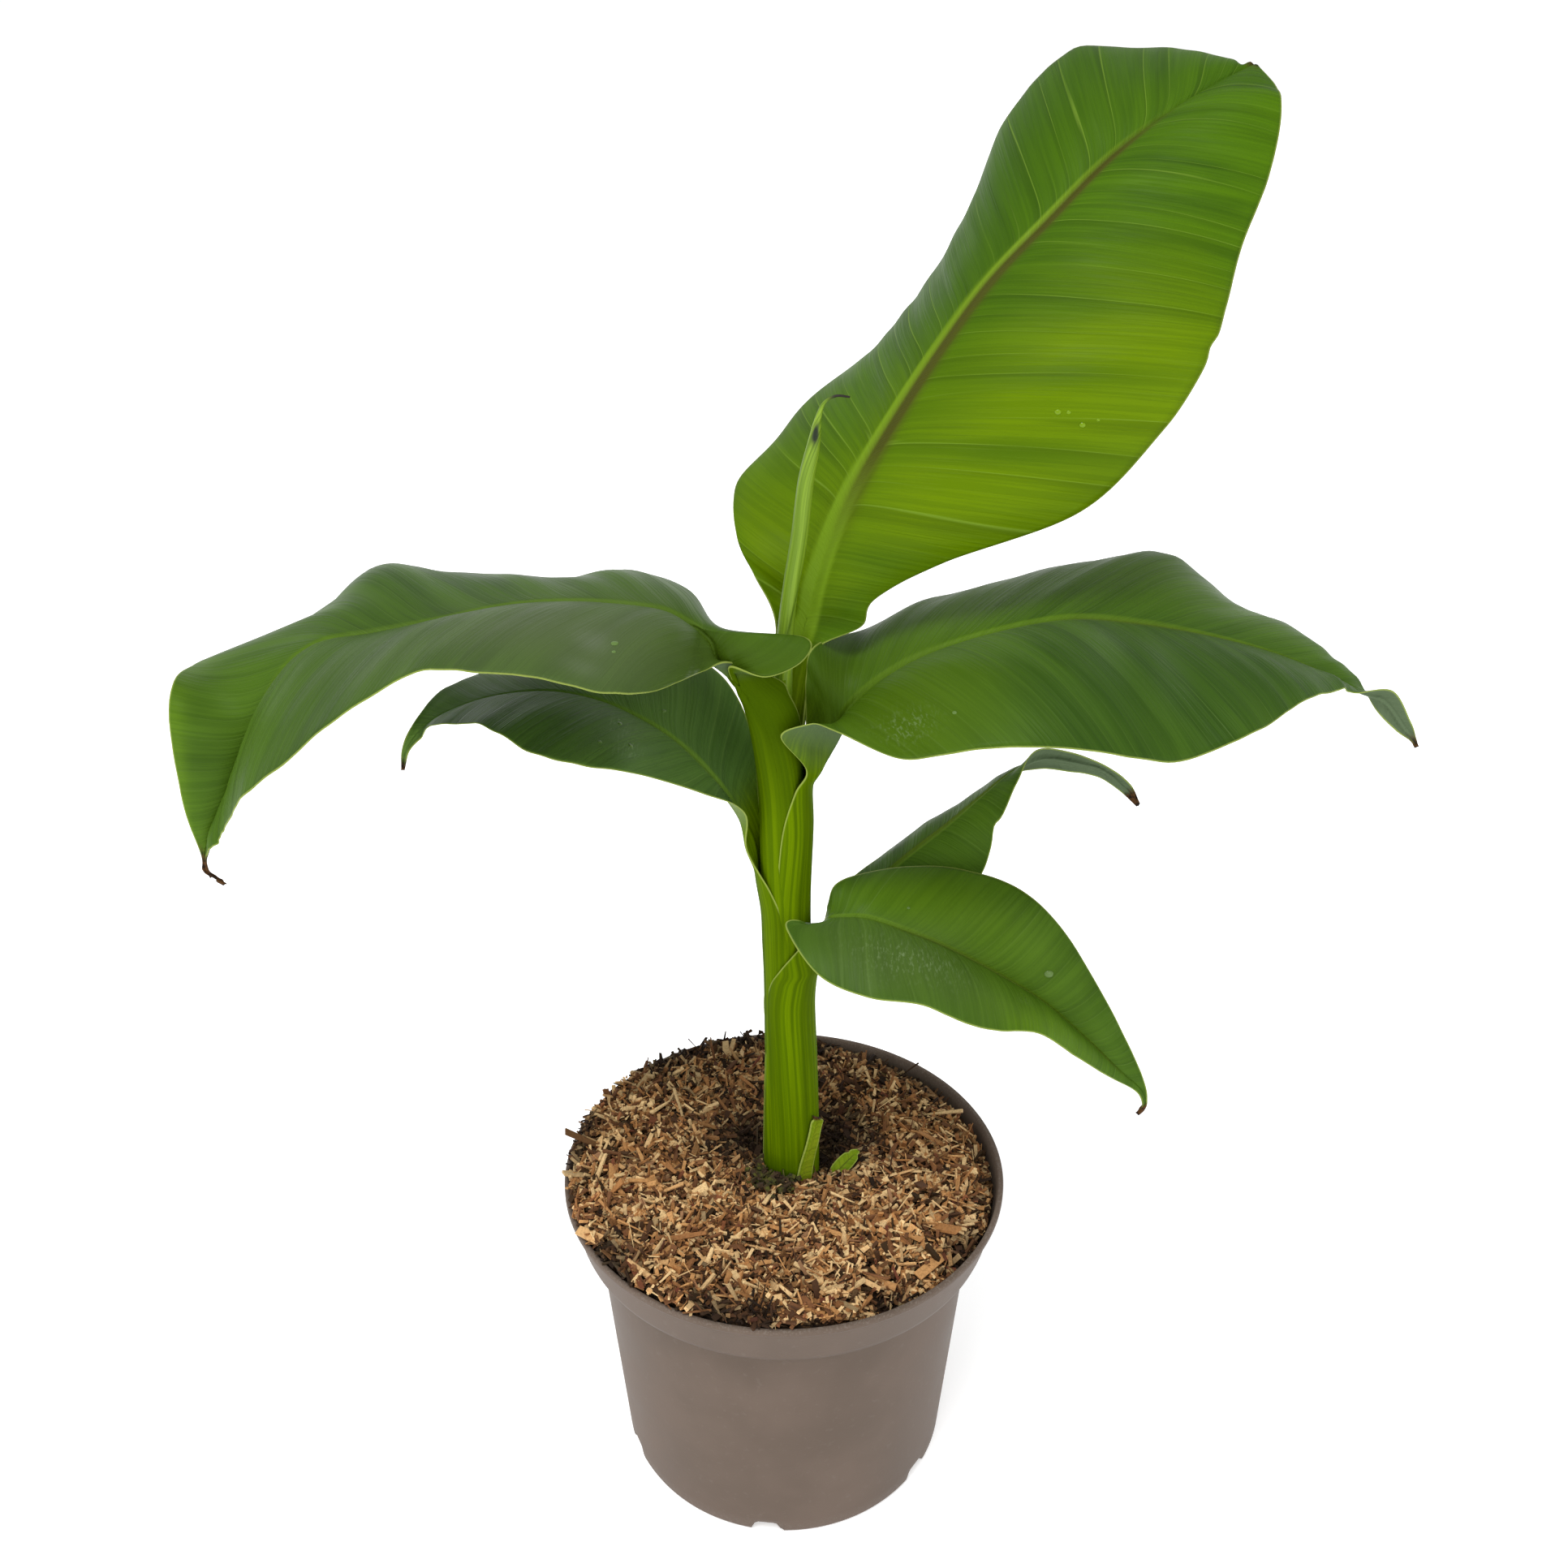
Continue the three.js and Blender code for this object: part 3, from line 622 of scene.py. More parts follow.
def leaf_surface(leaf):
    """The middle surface of a leaf before it gets its thickness, with what its material needs to know."""
    rows = leaf_rows(leaf)
    steps = leaf["steps"]
    samples = sample_rows(rows, steps)
    ribs = [Vector(row[0:3]) for row in samples]
    columns = column_places(ACROSS)
    seed = leaf["seed"]
    lengths = [0.0]
    for a, b in zip(ribs, ribs[1:]):
        lengths.append(lengths[-1] + (b - a).length)
    blade_start = (len(leaf["sheath"]) + leaf["blade_row"]) / (len(rows) - 1)
    zero = lengths[round(blade_start * steps)]
    arcs = [length - zero for length in lengths]
    blade_length = max(arcs[-1], 1.0)

    points = []
    facts = []
    for i, row in enumerate(samples):
        t = arcs[i] / blade_length
        along = (ribs[min(i + 1, steps)] - ribs[max(i - 1, 0)]).normalized()
        opening = smoothstep(-leaf["petiole"], 0.4 * leaf["petiole"], arcs[i])
        tip_fade = smoothstep(0, 0.12, 1 - t)
        point_line = []
        fact_line = []
        for v in columns:
            share = abs(v)
            side = -1 if v < 0 else 1
            chord = Vector(row[3:6] if v < 0 else row[6:9])
            turn = row[9] if v < 0 else row[10]
            for nick_side, place, reach, depth in leaf["nicks"]:
                if nick_side == side:
                    chord *= 1 - depth * bell(t, place, reach)
            point, up, distance = half_point(ribs[i], along, chord, turn, share, side)
            _, _, width = half_point(ribs[i], along, chord, turn, 1.0, side)
            curl = leaf["sweep"] * (1 - math.exp(-distance / leaf["sweep"]))
            phase = arcs[i] - curl - leaf["lean"] * distance
            fold = ripple(phase / 12 + seed * 7, side * 3.1 + distance / 90, seed)
            fold *= leaf["pleat"] * smoothstep(0.02, 0.3, share)
            wave = ripple(arcs[i] / 26 + seed * 3, side * 5.7, seed * 2.3)
            wave *= leaf["wave"] * smoothstep(0.55, 1.0, share)
            broad = ripple(phase / 34, distance / 70 * side, seed * 4.9)
            broad *= leaf["broad"] * smoothstep(0.05, 0.5, share)
            point_line.append(point + up * (fold + wave + broad) * opening * tip_fade)
            fact_line.append((distance, width, phase))
        points.append(point_line)
        facts.append(fact_line)
    return {"points": points, "facts": facts, "arcs": arcs, "columns": columns, "length": blade_length}


def surface_normal(points, i, j):
    """The direction of the leaf's upper side at one point of its grid."""
    ahead = points[min(i + 1, len(points) - 1)][j] - points[max(i - 1, 0)][j]
    across = points[i][min(j + 1, len(points[i]) - 1)] - points[i][max(j - 1, 0)]
    up = across.cross(ahead)
    return up.normalized() if up.length > 1e-9 else Vector((0, 0, 1))


def leaf_masks(leaf, t, v, distance, width, opening):
    """What the leaf's material reads at one place: how far the margin is, and its share of each tone."""
    side = -1 if v < 0 else 1
    rib_half = leaf["rib_half"] * (1 - 0.6 * smoothstep(0, 1, t))
    rib = 1 - smoothstep(rib_half * 0.7, rib_half * 1.1, distance)
    rib *= 1 - smoothstep(0.6, 0.9, t)
    groove_place = side * leaf["groove_side"] * distance - rib_half * 0.55
    groove = leaf["groove"] * min(1, 1.5 * bell(groove_place, 0, rib_half * 0.75))
    groove *= smoothstep(leaf["groove_from"], leaf["groove_from"] + 0.2, t)
    groove *= 1 - smoothstep(0.76, 0.9, t)
    edge = leaf["dry_from"] + 0.01 * ripple(t * 40, v * 3, leaf["seed"])
    masks = dict.fromkeys(LEAF_MASKS, 0.0)
    masks["rim"] = (1 - abs(v)) * width * MM
    masks["rib"] = rib * opening * leaf["rib_tone"]
    masks["groove"] = groove
    masks["sheath"] = 1 - opening
    masks["dry"] = smoothstep(edge - 0.015, edge + 0.015, t)
    for key, centre_t, centre_v, reach_t, reach_v, strength in leaf["patches"]:
        gap = ((t - centre_t) / reach_t) ** 2 + ((v - centre_v) / reach_v) ** 2
        wobble = 1 + 0.35 * ripple(t * 14, v * 4, leaf["seed"] + centre_t * 9)
        masks[key] += strength * math.exp(-gap * wobble)
    return {key: min(1.0, max(0.0, value)) for key, value in masks.items()}


def build_leaf(name, leaf, material, nodes):
    """A leaf of an upper and a lower skin, joined round the margin, with a keel under its midrib."""
    surface = leaf_surface(leaf)
    points, columns = surface["points"], surface["columns"]
    steps = len(points) - 1
    bm = bmesh.new()
    layers = {key: bm.verts.layers.float.new(key) for key in LEAF_MASKS}
    uv_layer = bm.loops.layers.uv.new("blade")
    upper = indexed_grid(bm, steps, len(columns) - 1)
    copy = bmesh.ops.duplicate(bm, geom=bm.verts[:] + bm.edges[:] + bm.faces[:])
    lower_of = {a: b for a, b in copy["vert_map"].items() if a in upper}
    lower_faces = [item for item in copy["geom"] if isinstance(item, bmesh.types.BMFace)]
    bmesh.ops.reverse_faces(bm, faces=lower_faces)

    uv_values = {}
    for vert, (i, j) in upper.items():
        distance, width, phase = surface["facts"][i][j]
        up = surface_normal(points, i, j)
        v = columns[j]
        t = surface["arcs"][i] / surface["length"]
        opening = smoothstep(-leaf["petiole"], 0.4 * leaf["petiole"], surface["arcs"][i])
        rib_half = leaf["rib_half"] * (1 - 0.7 * smoothstep(0, 1, t))
        slender = 1 - 0.7 * smoothstep(0, 1, t)
        keel = leaf["keel"] * slender * opening * bell(distance, 0, rib_half * 1.1)
        channel = leaf["keel"] * 0.35 * slender * opening * bell(distance, 0, rib_half * 0.55)
        stalk = leaf["stalk"] * (1 - opening) * math.cos(min(1, abs(v)) * math.pi / 2) ** 0.5
        thickness = leaf["blade"] * (1 - 0.4 * smoothstep(0.8, 1.0, abs(v))) + stalk
        vert.co = (points[i][j] + up * (thickness / 2 - channel)) * MM
        other = lower_of[vert]
        other.co = (points[i][j] - up * (thickness / 2 + keel)) * MM
        for key, value in leaf_masks(leaf, t, v, distance, width, opening).items():
            vert[layers[key]] = value
            other[layers[key]] = value
        other[layers["under"]] = 1.0
        other[layers["groove"]] = 0.0
        for corner in (vert, other):
            uv_values[corner] = (phase * MM, math.copysign(distance, v) * MM)

    bmesh.ops.bridge_loops(bm, edges=[edge for edge in bm.edges if edge.is_boundary])
    bmesh.ops.recalc_face_normals(bm, faces=bm.faces)
    lay_uv(bm, uv_layer, uv_values)
    add_piece(name, bm, material, nodes)
    return surface


# What a leaf's entry says, with lengths in millimetres and turns in degrees:
# stations: the blade's rows, each a point of the rib and of the two margins.
# turns: how far the two halves of each row turn.
# facing, offset: where the sheath sits round the stem, and how far off it.
# sheath: rows of a height, the turns of the two halves and the rib's lift off the stem.
# blade_row, petiole: the station where the blade starts, and how far before it the sheath opens.
# steps, seed: how finely the leaf is drawn, and its own noise.
# pleat, wave, broad: heights of the folds between veins, of the waves at the margin and of the broad ones.
# sweep, lean: how far the side veins bend forward near the rib, and how far beyond it.
# rib_half, keel: half the rib's width, and how far it stands out underneath.
# stalk, blade: how much thicker the sheath is than the blade, and how thick the blade is.
# rib_tone, groove: how strongly the rib and the groove in it are coloured.
# groove_side, groove_from: the side of the rib that the groove is on, and where it starts.
# dry_from: where the dry tip starts.
# patches: a tone, such as painted light, painted shade or painted sheen, its place along the blade and
# across it from -1 to 1, its reach both ways, its strength.
# nicks: a side, a place along the blade, a reach and a depth.
ARCH = (-38, -38)
COMMON = {
    "nicks": [], "blade_row": 1, "pleat": 0.8, "sweep": 5, "lean": 0.45, "keel": 2.6, "stalk": 1.8,
    "blade": 0.7, "groove": 0.0, "groove_side": 1, "groove_from": 0.3,
}


def leaf_entry(**own):
    """A leaf's own entry over what most leaves have in common."""
    return {**COMMON, **own}


LEAVES = {
    "leaf_top": leaf_entry(
        stations=TOP_LEAF, facing=90, offset=-2.2, seed=1.3, steps=210,
        sheath=[(400, 160, 160, 0), (450, 140, 140, 0), (490, 115, 115, 1)],
        turns=[(120, 120), (60, 45), (10, 0)] + [ARCH] * 11,
        petiole=26, nicks=[(-1, 0.985, 0.012, 0.5), (-1, 0.19, 0.04, 0.1), (1, 0.44, 0.018, 0.013)],
        pleat=1.2, wave=2.2, broad=2.6, lean=0.0,
        rib_half=7.0, rib_tone=0.95, keel=4.5, stalk=2.2, blade=0.8,
        groove=1.0, groove_from=0.1, dry_from=0.995,
        # Painted light on the lit bands, painted shade on the darker bands and on the left half
        patches=[
            ("painted_light", 0.25, 0.6, 0.22, 0.7, 1.0), ("painted_light", 0.08, -0.5, 0.14, 0.7, 0.95),
            ("painted_light", 0.45, 0.75, 0.14, 0.4, 0.75), ("painted_shade", 0.6, -0.6, 0.35, 0.6, 0.8),
            ("painted_shade", 0.03, 0.6, 0.06, 0.5, 0.4), ("painted_shade", 0.13, 0.5, 0.025, 0.5, 0.5),
            ("painted_shade", 0.275, 0.55, 0.018, 0.45, 0.55), ("painted_shade", 0.38, 0.55, 0.02, 0.4, 0.45),
            ("painted_shade", 0.5, 0.5, 0.025, 0.5, 0.45),
        ],
    ),
    "leaf_upper_left": leaf_entry(
        stations=UPPER_LEFT_LEAF, facing=-92, offset=-1.6, seed=2.1, steps=220,
        sheath=[(380, 160, 160, 0), (430, 135, 135, 0), (478, 110, 110, 0)],
        turns=[(80, 100), (60, 80), (40, 25), (20, 10), (-10, -20), (-20, -25)] + [ARCH] * 14,
        blade_row=3, petiole=14,
        pleat=0.9, wave=1.6, broad=2.2, sweep=7, lean=0.5,
        rib_half=3.6, rib_tone=0.35, keel=4.2, stalk=2.4, blade=0.8,
        dry_from=0.94,
        # A painted sheen on the near half, painted light towards the tip, painted shade over the sheath, and
        # wet spots
        patches=[
            ("painted_sheen", 0.22, -0.55, 0.26, 0.7, 0.8), ("painted_light", 0.82, 0.95, 0.16, 0.2, 0.7),
            ("painted_light", 0.94, 0.0, 0.05, 1.0, 0.5), ("painted_light", 0.72, 0.0, 0.2, 1.2, 0.4),
            ("painted_deep_shade", -0.09, 0.0, 0.16, 2.5, 0.95),
            ("wet", 0.2, -0.62, 0.02, 0.09, 0.9), ("wet", 0.21, -0.85, 0.02, 0.06, 0.8),
        ],
    ),
    "leaf_upper_right": leaf_entry(
        stations=UPPER_RIGHT_LEAF, facing=25, offset=-1.0, seed=3.7, steps=210,
        sheath=[(360, 165, 165, 0), (410, 150, 140, 1), (456, 118, 122, 3), (482, 90, 94, 5)],
        turns=[(75, 75), (55, 20), (30, 25), (10, 0)] + [ARCH] * 13,
        blade_row=2, petiole=26,
        pleat=0.9, wave=1.8, broad=2.2, sweep=7, lean=0.5,
        rib_half=3.6, rib_tone=0.45, keel=4.2, stalk=2.2, blade=0.8,
        groove=0.35, dry_from=0.985,
        # Patches of painted light and painted shade, wet spots and a scuff
        patches=[
            ("painted_light", 0.13, 0.6, 0.13, 0.6, 0.8), ("painted_deep_shade", 0.12, 0.6, 0.11, 0.7, 0.55),
            ("painted_deep_shade", 0.02, -0.5, 0.07, 0.6, 0.65), ("painted_light", 0.22, -0.6, 0.12, 0.6, 0.6),
            ("painted_shade", 0.6, 0.6, 0.3, 0.5, 0.6), ("painted_light", 0.5, -0.6, 0.3, 0.5, 0.6),
            ("wet", 0.42, 0.3, 0.03, 0.2, 0.35), ("wet", 0.5, 0.45, 0.025, 0.25, 0.3),
            ("scuff", 0.13, 0.7, 0.04, 0.14, 0.4),
        ],
    ),
    "leaf_lower_left": leaf_entry(
        stations=LOWER_LEFT_LEAF, facing=180, offset=-0.4, seed=4.2, steps=150,
        sheath=[(300, 165, 165, 0), (350, 125, 150, 0), (378, 105, 130, 0), (400, 86, 115, 0),
                (420, 60, 100, 2)],
        turns=[(50, 80), (70, 55), (10, 30), (0, 8)] + [(-14, -14)] * 9,
        petiole=24,
        wave=1.5, broad=1.6,
        rib_half=2.4, rib_tone=0.5,
        dry_from=0.97,
        patches=[
            ("painted_light", 0.95, 0.0, 0.07, 1.0, 0.6), ("painted_light", 0.4, 0.0, 0.3, 1.2, 0.6),
            ("painted_shade", 0.08, 0.4, 0.12, 0.8, 0.6), ("painted_light", 0.8, 0.0, 0.2, 1.2, 0.7),
            ("scuff", 0.34, -0.35, 0.03, 0.15, 0.7), ("scuff", 0.3, -0.65, 0.03, 0.12, 0.7),
        ],
    ),
    "leaf_lower_right_front": leaf_entry(
        stations=LOWER_RIGHT_FRONT_LEAF, facing=10, offset=0.5, seed=5.5, steps=150,
        sheath=[(198, 170, 175, 0), (250, 168, 175, 0), (300, 165, 173, 0), (335, 150, 168, 0),
                (354, 128, 148, 2), (368, 100, 122, 5)],
        turns=[(70, 95), (40, 60), (10, 25)] + [ARCH] * 11,
        petiole=22,
        wave=1.4, broad=1.4,
        rib_half=2.3, rib_tone=0.45,
        groove=0.45, groove_from=0.1, dry_from=0.965,
        patches=[
            ("painted_light", 0.62, 0.8, 0.16, 0.4, 0.9), ("painted_sheen", 0.22, 0.5, 0.2, 0.5, 0.35),
            ("painted_light", 0.5, 0.0, 0.5, 1.2, 0.45), ("painted_light", 0.22, -0.5, 0.25, 0.5, 0.7),
            ("scuff", 0.24, 0.42, 0.1, 0.25, 0.55), ("painted_deep_shade", -0.77, 0.75, 0.04, 0.3, 0.95),
            ("wet", 0.52, 0.3, 0.02, 0.1, 0.8),
        ],
    ),
    "leaf_lower_right_back": leaf_entry(
        stations=LOWER_RIGHT_BACK_LEAF, facing=50, offset=0.0, seed=6.4, steps=150,
        sheath=[(270, 165, 165, 0), (310, 130, 130, 0), (345, 100, 100, 1)],
        turns=[(60, 60), (35, 35), (5, 5)] + [ARCH] * 9,
        petiole=20, nicks=[(1, 0.48, 0.02, 0.14)],
        wave=1.2, broad=1.2, sweep=4,
        rib_half=2.2, rib_tone=0.6, keel=2.2, stalk=1.6,
        groove=0.4, groove_side=-1, groove_from=0.05, dry_from=0.95,
        patches=[("painted_light", 0.9, 0.0, 0.08, 1.0, 0.5), ("painted_light", 0.45, 0.4, 0.3, 0.9, 0.45)],
    ),
}

REMNANTS = {
    "sheath_stub": leaf_entry(
        stations=SHEATH_STUB, facing=-45, offset=0, seed=7.3, steps=60, sheath=[],
        turns=[(30, 30)] * 6, blade_row=0, petiole=1, nicks=[(-1, 0.97, 0.03, 0.5), (1, 0.99, 0.02, 0.7)],
        pleat=0.2, wave=0.5, broad=0.3, sweep=2, lean=0.0,
        rib_half=1.0, rib_tone=0.0, keel=0.3, stalk=0.5, blade=1.3,
        dry_from=0.97,
        patches=[("painted_light", 0.5, 0.4, 0.6, 0.9, 1.0)],
    ),
    "cut_stump": leaf_entry(
        stations=CUT_STUMP, facing=0, offset=0, seed=8.1, steps=60, sheath=[],
        turns=[(-20, -20)] * 6, blade_row=0, petiole=1, nicks=[(-1, 0.8, 0.05, 0.25), (1, 0.9, 0.04, 0.3)],
        pleat=0.3, wave=0.7, broad=0.6, sweep=2, lean=0.3,
        rib_half=0.9, rib_tone=0.5, keel=0.4, stalk=0.5, blade=1.0,
        groove=0.7, groove_from=0.1, dry_from=0.985,
        patches=[("painted_light", 0.5, -0.2, 0.5, 0.8, 0.5), ("painted_shade", 0.5, 0.5, 0.4, 0.4, 0.4)],
    ),
}

# Each set of tones has a colour for painted light and a greyish one for painted sheen
YOUNG_TONES = {
    "deep": "#375708", "mid": "#476a06", "painted_light": "#5f7a00", "painted_sheen": "#50663a", "vein": "#7c9a34",
    "margin": "#8c9a48", "rib": "#6f8f1c", "stalk": "#6b8504", "stalk_line": "#84a01a",
    "stalk_deep": "#506a00", "under": "#5b6c48", "vein_mm": 12.5, "thread": 0.45, "shine": 0.06,
}
MATURE_TONES = {
    "deep": "#2f4a12", "mid": "#426018", "painted_light": "#547414", "painted_sheen": "#505e3a", "vein": "#6d8a40",
    "margin": "#93a24c", "rib": "#66851e", "stalk": "#506a00", "stalk_line": "#678100",
    "stalk_deep": "#3a5000", "under": "#56664a", "vein_mm": 11.0, "thread": 0.22, "shine": 0.08,
}
# Lighter copies of the mature tones for the lower left leaf, which lies in the upper leaves' shade: painted
# fill light
PAINTED_FILL_TONES = {**MATURE_TONES, "deep": "#3b5824", "mid": "#4e6c2c", "painted_light": "#5a7a30", "under": "#74864c"}
SHEATH_TONES = {
    **YOUNG_TONES, "deep": "#566f06", "mid": "#66800c", "painted_light": "#84961c", "margin": "#98a64c",
    "vein_mm": 4.0,
}
young_blade = leaf_material("young_leaf_cuticle", YOUNG_TONES, 0.42)
mature_blade = leaf_material("mature_leaf_cuticle", MATURE_TONES, 0.4)
painted_fill_blade = leaf_material("lower_leaf_cuticle_painted_fill_light", PAINTED_FILL_TONES, 0.42)
torn_sheath = leaf_material("torn_sheath", SHEATH_TONES, 0.45)

surfaces = {}
for leaf_name, leaf_facts in LEAVES.items():
    piece_name = leaf_name.replace("leaf", "blade")
    blade = {"leaf_top": young_blade, "leaf_lower_left": painted_fill_blade}.get(leaf_name, mature_blade)
    surfaces[leaf_name] = build_leaf(piece_name, leaf_facts, blade, [leaf_name])


# Water

# A leaf, a place along it and across it, and the drop's width
DROPS = [
    ("leaf_top", 0.325, 0.62, 3.4), ("leaf_top", 0.33, 0.645, 2.2),
    ("leaf_top", 0.315, 0.73, 3.2), ("leaf_top", 0.322, 0.745, 1.8),
    ("leaf_upper_left", 0.17, -0.62, 4.2), ("leaf_upper_left", 0.175, -0.68, 2.4),
    ("leaf_lower_left", 0.35, -0.3, 3.6), ("leaf_lower_left", 0.3, -0.62, 3.4),
    ("leaf_lower_left", 0.38, -0.66, 2.6), ("leaf_lower_left", 0.27, 0.2, 2.8),
    ("leaf_lower_left", 0.43, 0.25, 2.6), ("leaf_upper_right", 0.2, 0.72, 2.6),
    ("leaf_lower_right_front", 0.56, -0.35, 5.5), ("leaf_lower_right_front", 0.2, -0.3, 2.0),
]
DROP_FLATTENING = 0.32


def build_drops(name, material, on_young):
    """Rain drops: flat domes that lie on the blades."""
    bm = bmesh.new()
    for leaf_name, t, v, width in DROPS:
        if (leaf_name == "leaf_top") != on_young:
            continue
        surface = surfaces[leaf_name]
        arcs, columns, points = surface["arcs"], surface["columns"], surface["points"]
        i = min(range(len(arcs)), key=lambda k: abs(arcs[k] / surface["length"] - t))
        j = min(range(len(columns)), key=lambda k: abs(columns[k] - v))
        up = surface_normal(points, i, j)
        place = points[i][j] + up * LEAVES[leaf_name]["blade"] / 2
        scale = Vector((width, width * 0.8, width * DROP_FLATTENING)) * MM
        matrix = Matrix.LocRotScale(place * MM, up.to_track_quat("Z", "Y"), scale)
        bmesh.ops.create_uvsphere(bm, u_segments=20, v_segments=10, radius=0.5, matrix=matrix)
    add_piece(name, bm, material)


build_drops("drops_on_young_leaf", water_material("water_on_young_leaf", "#6c8a08"), True)
build_drops("drops_on_leaves", water_material("water_on_leaf", "#5c763a"), False)


# Stem

# The room the core leaves for the sheaths, the heights where it closes up and those where the moss ends
SHEATH_ROOM = 3.0
THROAT = (485, 515)
MOSS_LINE = (205, 219)


def build_tube(name, sides, steps, place, facts, material, node):
    """A grid rolled into a closed tube: place gives a vertex, and facts its attributes and its UV."""
    bm = bmesh.new()
    layers = {key: bm.verts.layers.float.new(key) for key in facts(0, 0)[0]}
    uv_layer = bm.loops.layers.uv.new("blade")
    grid = indexed_grid(bm, steps, sides)
    uv_values = {}
    for vert, (i, k) in grid.items():
        angle = 2 * math.pi * k / sides
        vert.co = place(i, angle) * MM
        values, uv_values[vert] = facts(i, angle)
        for key, value in values.items():
            vert[layers[key]] = value
    lay_uv(bm, uv_layer, uv_values)
    bmesh.ops.remove_doubles(bm, verts=list(grid), dist=1e-7)
    rims = [edge for edge in bm.edges if edge.is_boundary]
    bmesh.ops.holes_fill(bm, edges=rims, sides=0)
    bmesh.ops.recalc_face_normals(bm, faces=bm.faces)
    add_piece(name, bm, material, [node])


def build_stem_core():
    """The column inside the sheaths, with faint ribs: thinner than its solid below the throat."""
    sides = 48
    steps = 60
    rows = sample_rows([[*centre, radius] for centre, radius in STEM_STATIONS], steps)

    def place(i, angle):
        x, y, z, radius = rows[i]
        reach = radius - SHEATH_ROOM * (1 - smoothstep(*THROAT, z))
        reach += 0.35 * ripple(math.cos(angle) * 3, math.sin(angle) * 3, z / 90)
        return Vector((x + reach * math.cos(angle), y + reach * math.sin(angle), z))

    def facts(i, angle):
        z, radius = rows[i][2:4]
        moss = 0.8 * (1 - smoothstep(*MOSS_LINE, z))
        return {"moss": moss}, (z * MM, radius * angle * MM)

    build_tube("stem_core", sides, steps, place, facts, stem_material(), "pseudostem")


build_stem_core()
for remnant_name, remnant in REMNANTS.items():
    build_leaf(remnant_name + "_flake", remnant, torn_sheath, [remnant_name])


# Rolled leaf

# Height of its mouth, a dark hollow of painted shade on the closed tube, and where its seam starts and how
# far it winds in how much height
MOUTH_HEIGHT = 677
SEAM_HEIGHT = 545
SEAM_RISE = 150
SEAM_TURN = 5.2
SEAM_START = 2.4


def build_rolled_leaf():
    """The unopened leaf: one blade rolled up, so each ring is a spiral with a step at its seam."""
    sides = 40
    steps = 140
    rows = sample_rows([[*centre, radius] for centre, radius in ROLLED_STATIONS], steps)
    centres = [Vector(row[0:3]) for row in rows]

    def turn_at(i, angle):
        seam_angle = (centres[i].z - SEAM_HEIGHT) / SEAM_RISE * SEAM_TURN + SEAM_START
        return ((angle - seam_angle) / (2 * math.pi)) % 1

    def place(i, angle):
        along = (centres[min(i + 1, steps)] - centres[max(i - 1, 0)]).normalized()
        across = Vector((0, 1, 0))
        across = (across - along * across.dot(along)).normalized()
        other = along.cross(across)
        radius = rows[i][3] * (0.88 + 0.2 * turn_at(i, angle))
        return centres[i] + across * radius * math.cos(angle) + other * radius * math.sin(angle)

    def facts(i, angle):
        turn = turn_at(i, angle)
        mouth_shadow = bell(centres[i].z, MOUTH_HEIGHT, 4.5) * bell(angle, math.pi, 0.6)
        seam = 0.9 * math.exp(-min(turn, 1 - turn) / 0.035)
        values = {"seam": seam, "painted_hollow_shade": min(1, 1.6 * mouth_shadow), "dry": smoothstep(0.8, 0.9, i / steps)}
        return values, (centres[i].z * MM, rows[i][3] * angle * MM)

    build_tube("rolled_leaf_spiral", sides, steps, place, facts, rolled_material(),
               "rolled_leaf")


build_rolled_leaf()


# Pot

def spin_profile(bm, profile, segments):
    """Turns a profile of radii and heights once round the upright axis."""
    verts = [bm.verts.new((radius * MM, 0, height * MM)) for radius, height in profile]
    edges = [bm.edges.new(pair) for pair in zip(verts, verts[1:])]
    bmesh.ops.spin(bm, geom=verts + edges, cent=(0, 0, 0), axis=(0, 0, 1), dvec=(0, 0, 0),
                   angle=2 * math.pi, steps=segments, use_merge=True, use_duplicate=False)
    bmesh.ops.remove_doubles(bm, verts=bm.verts, dist=1e-6)


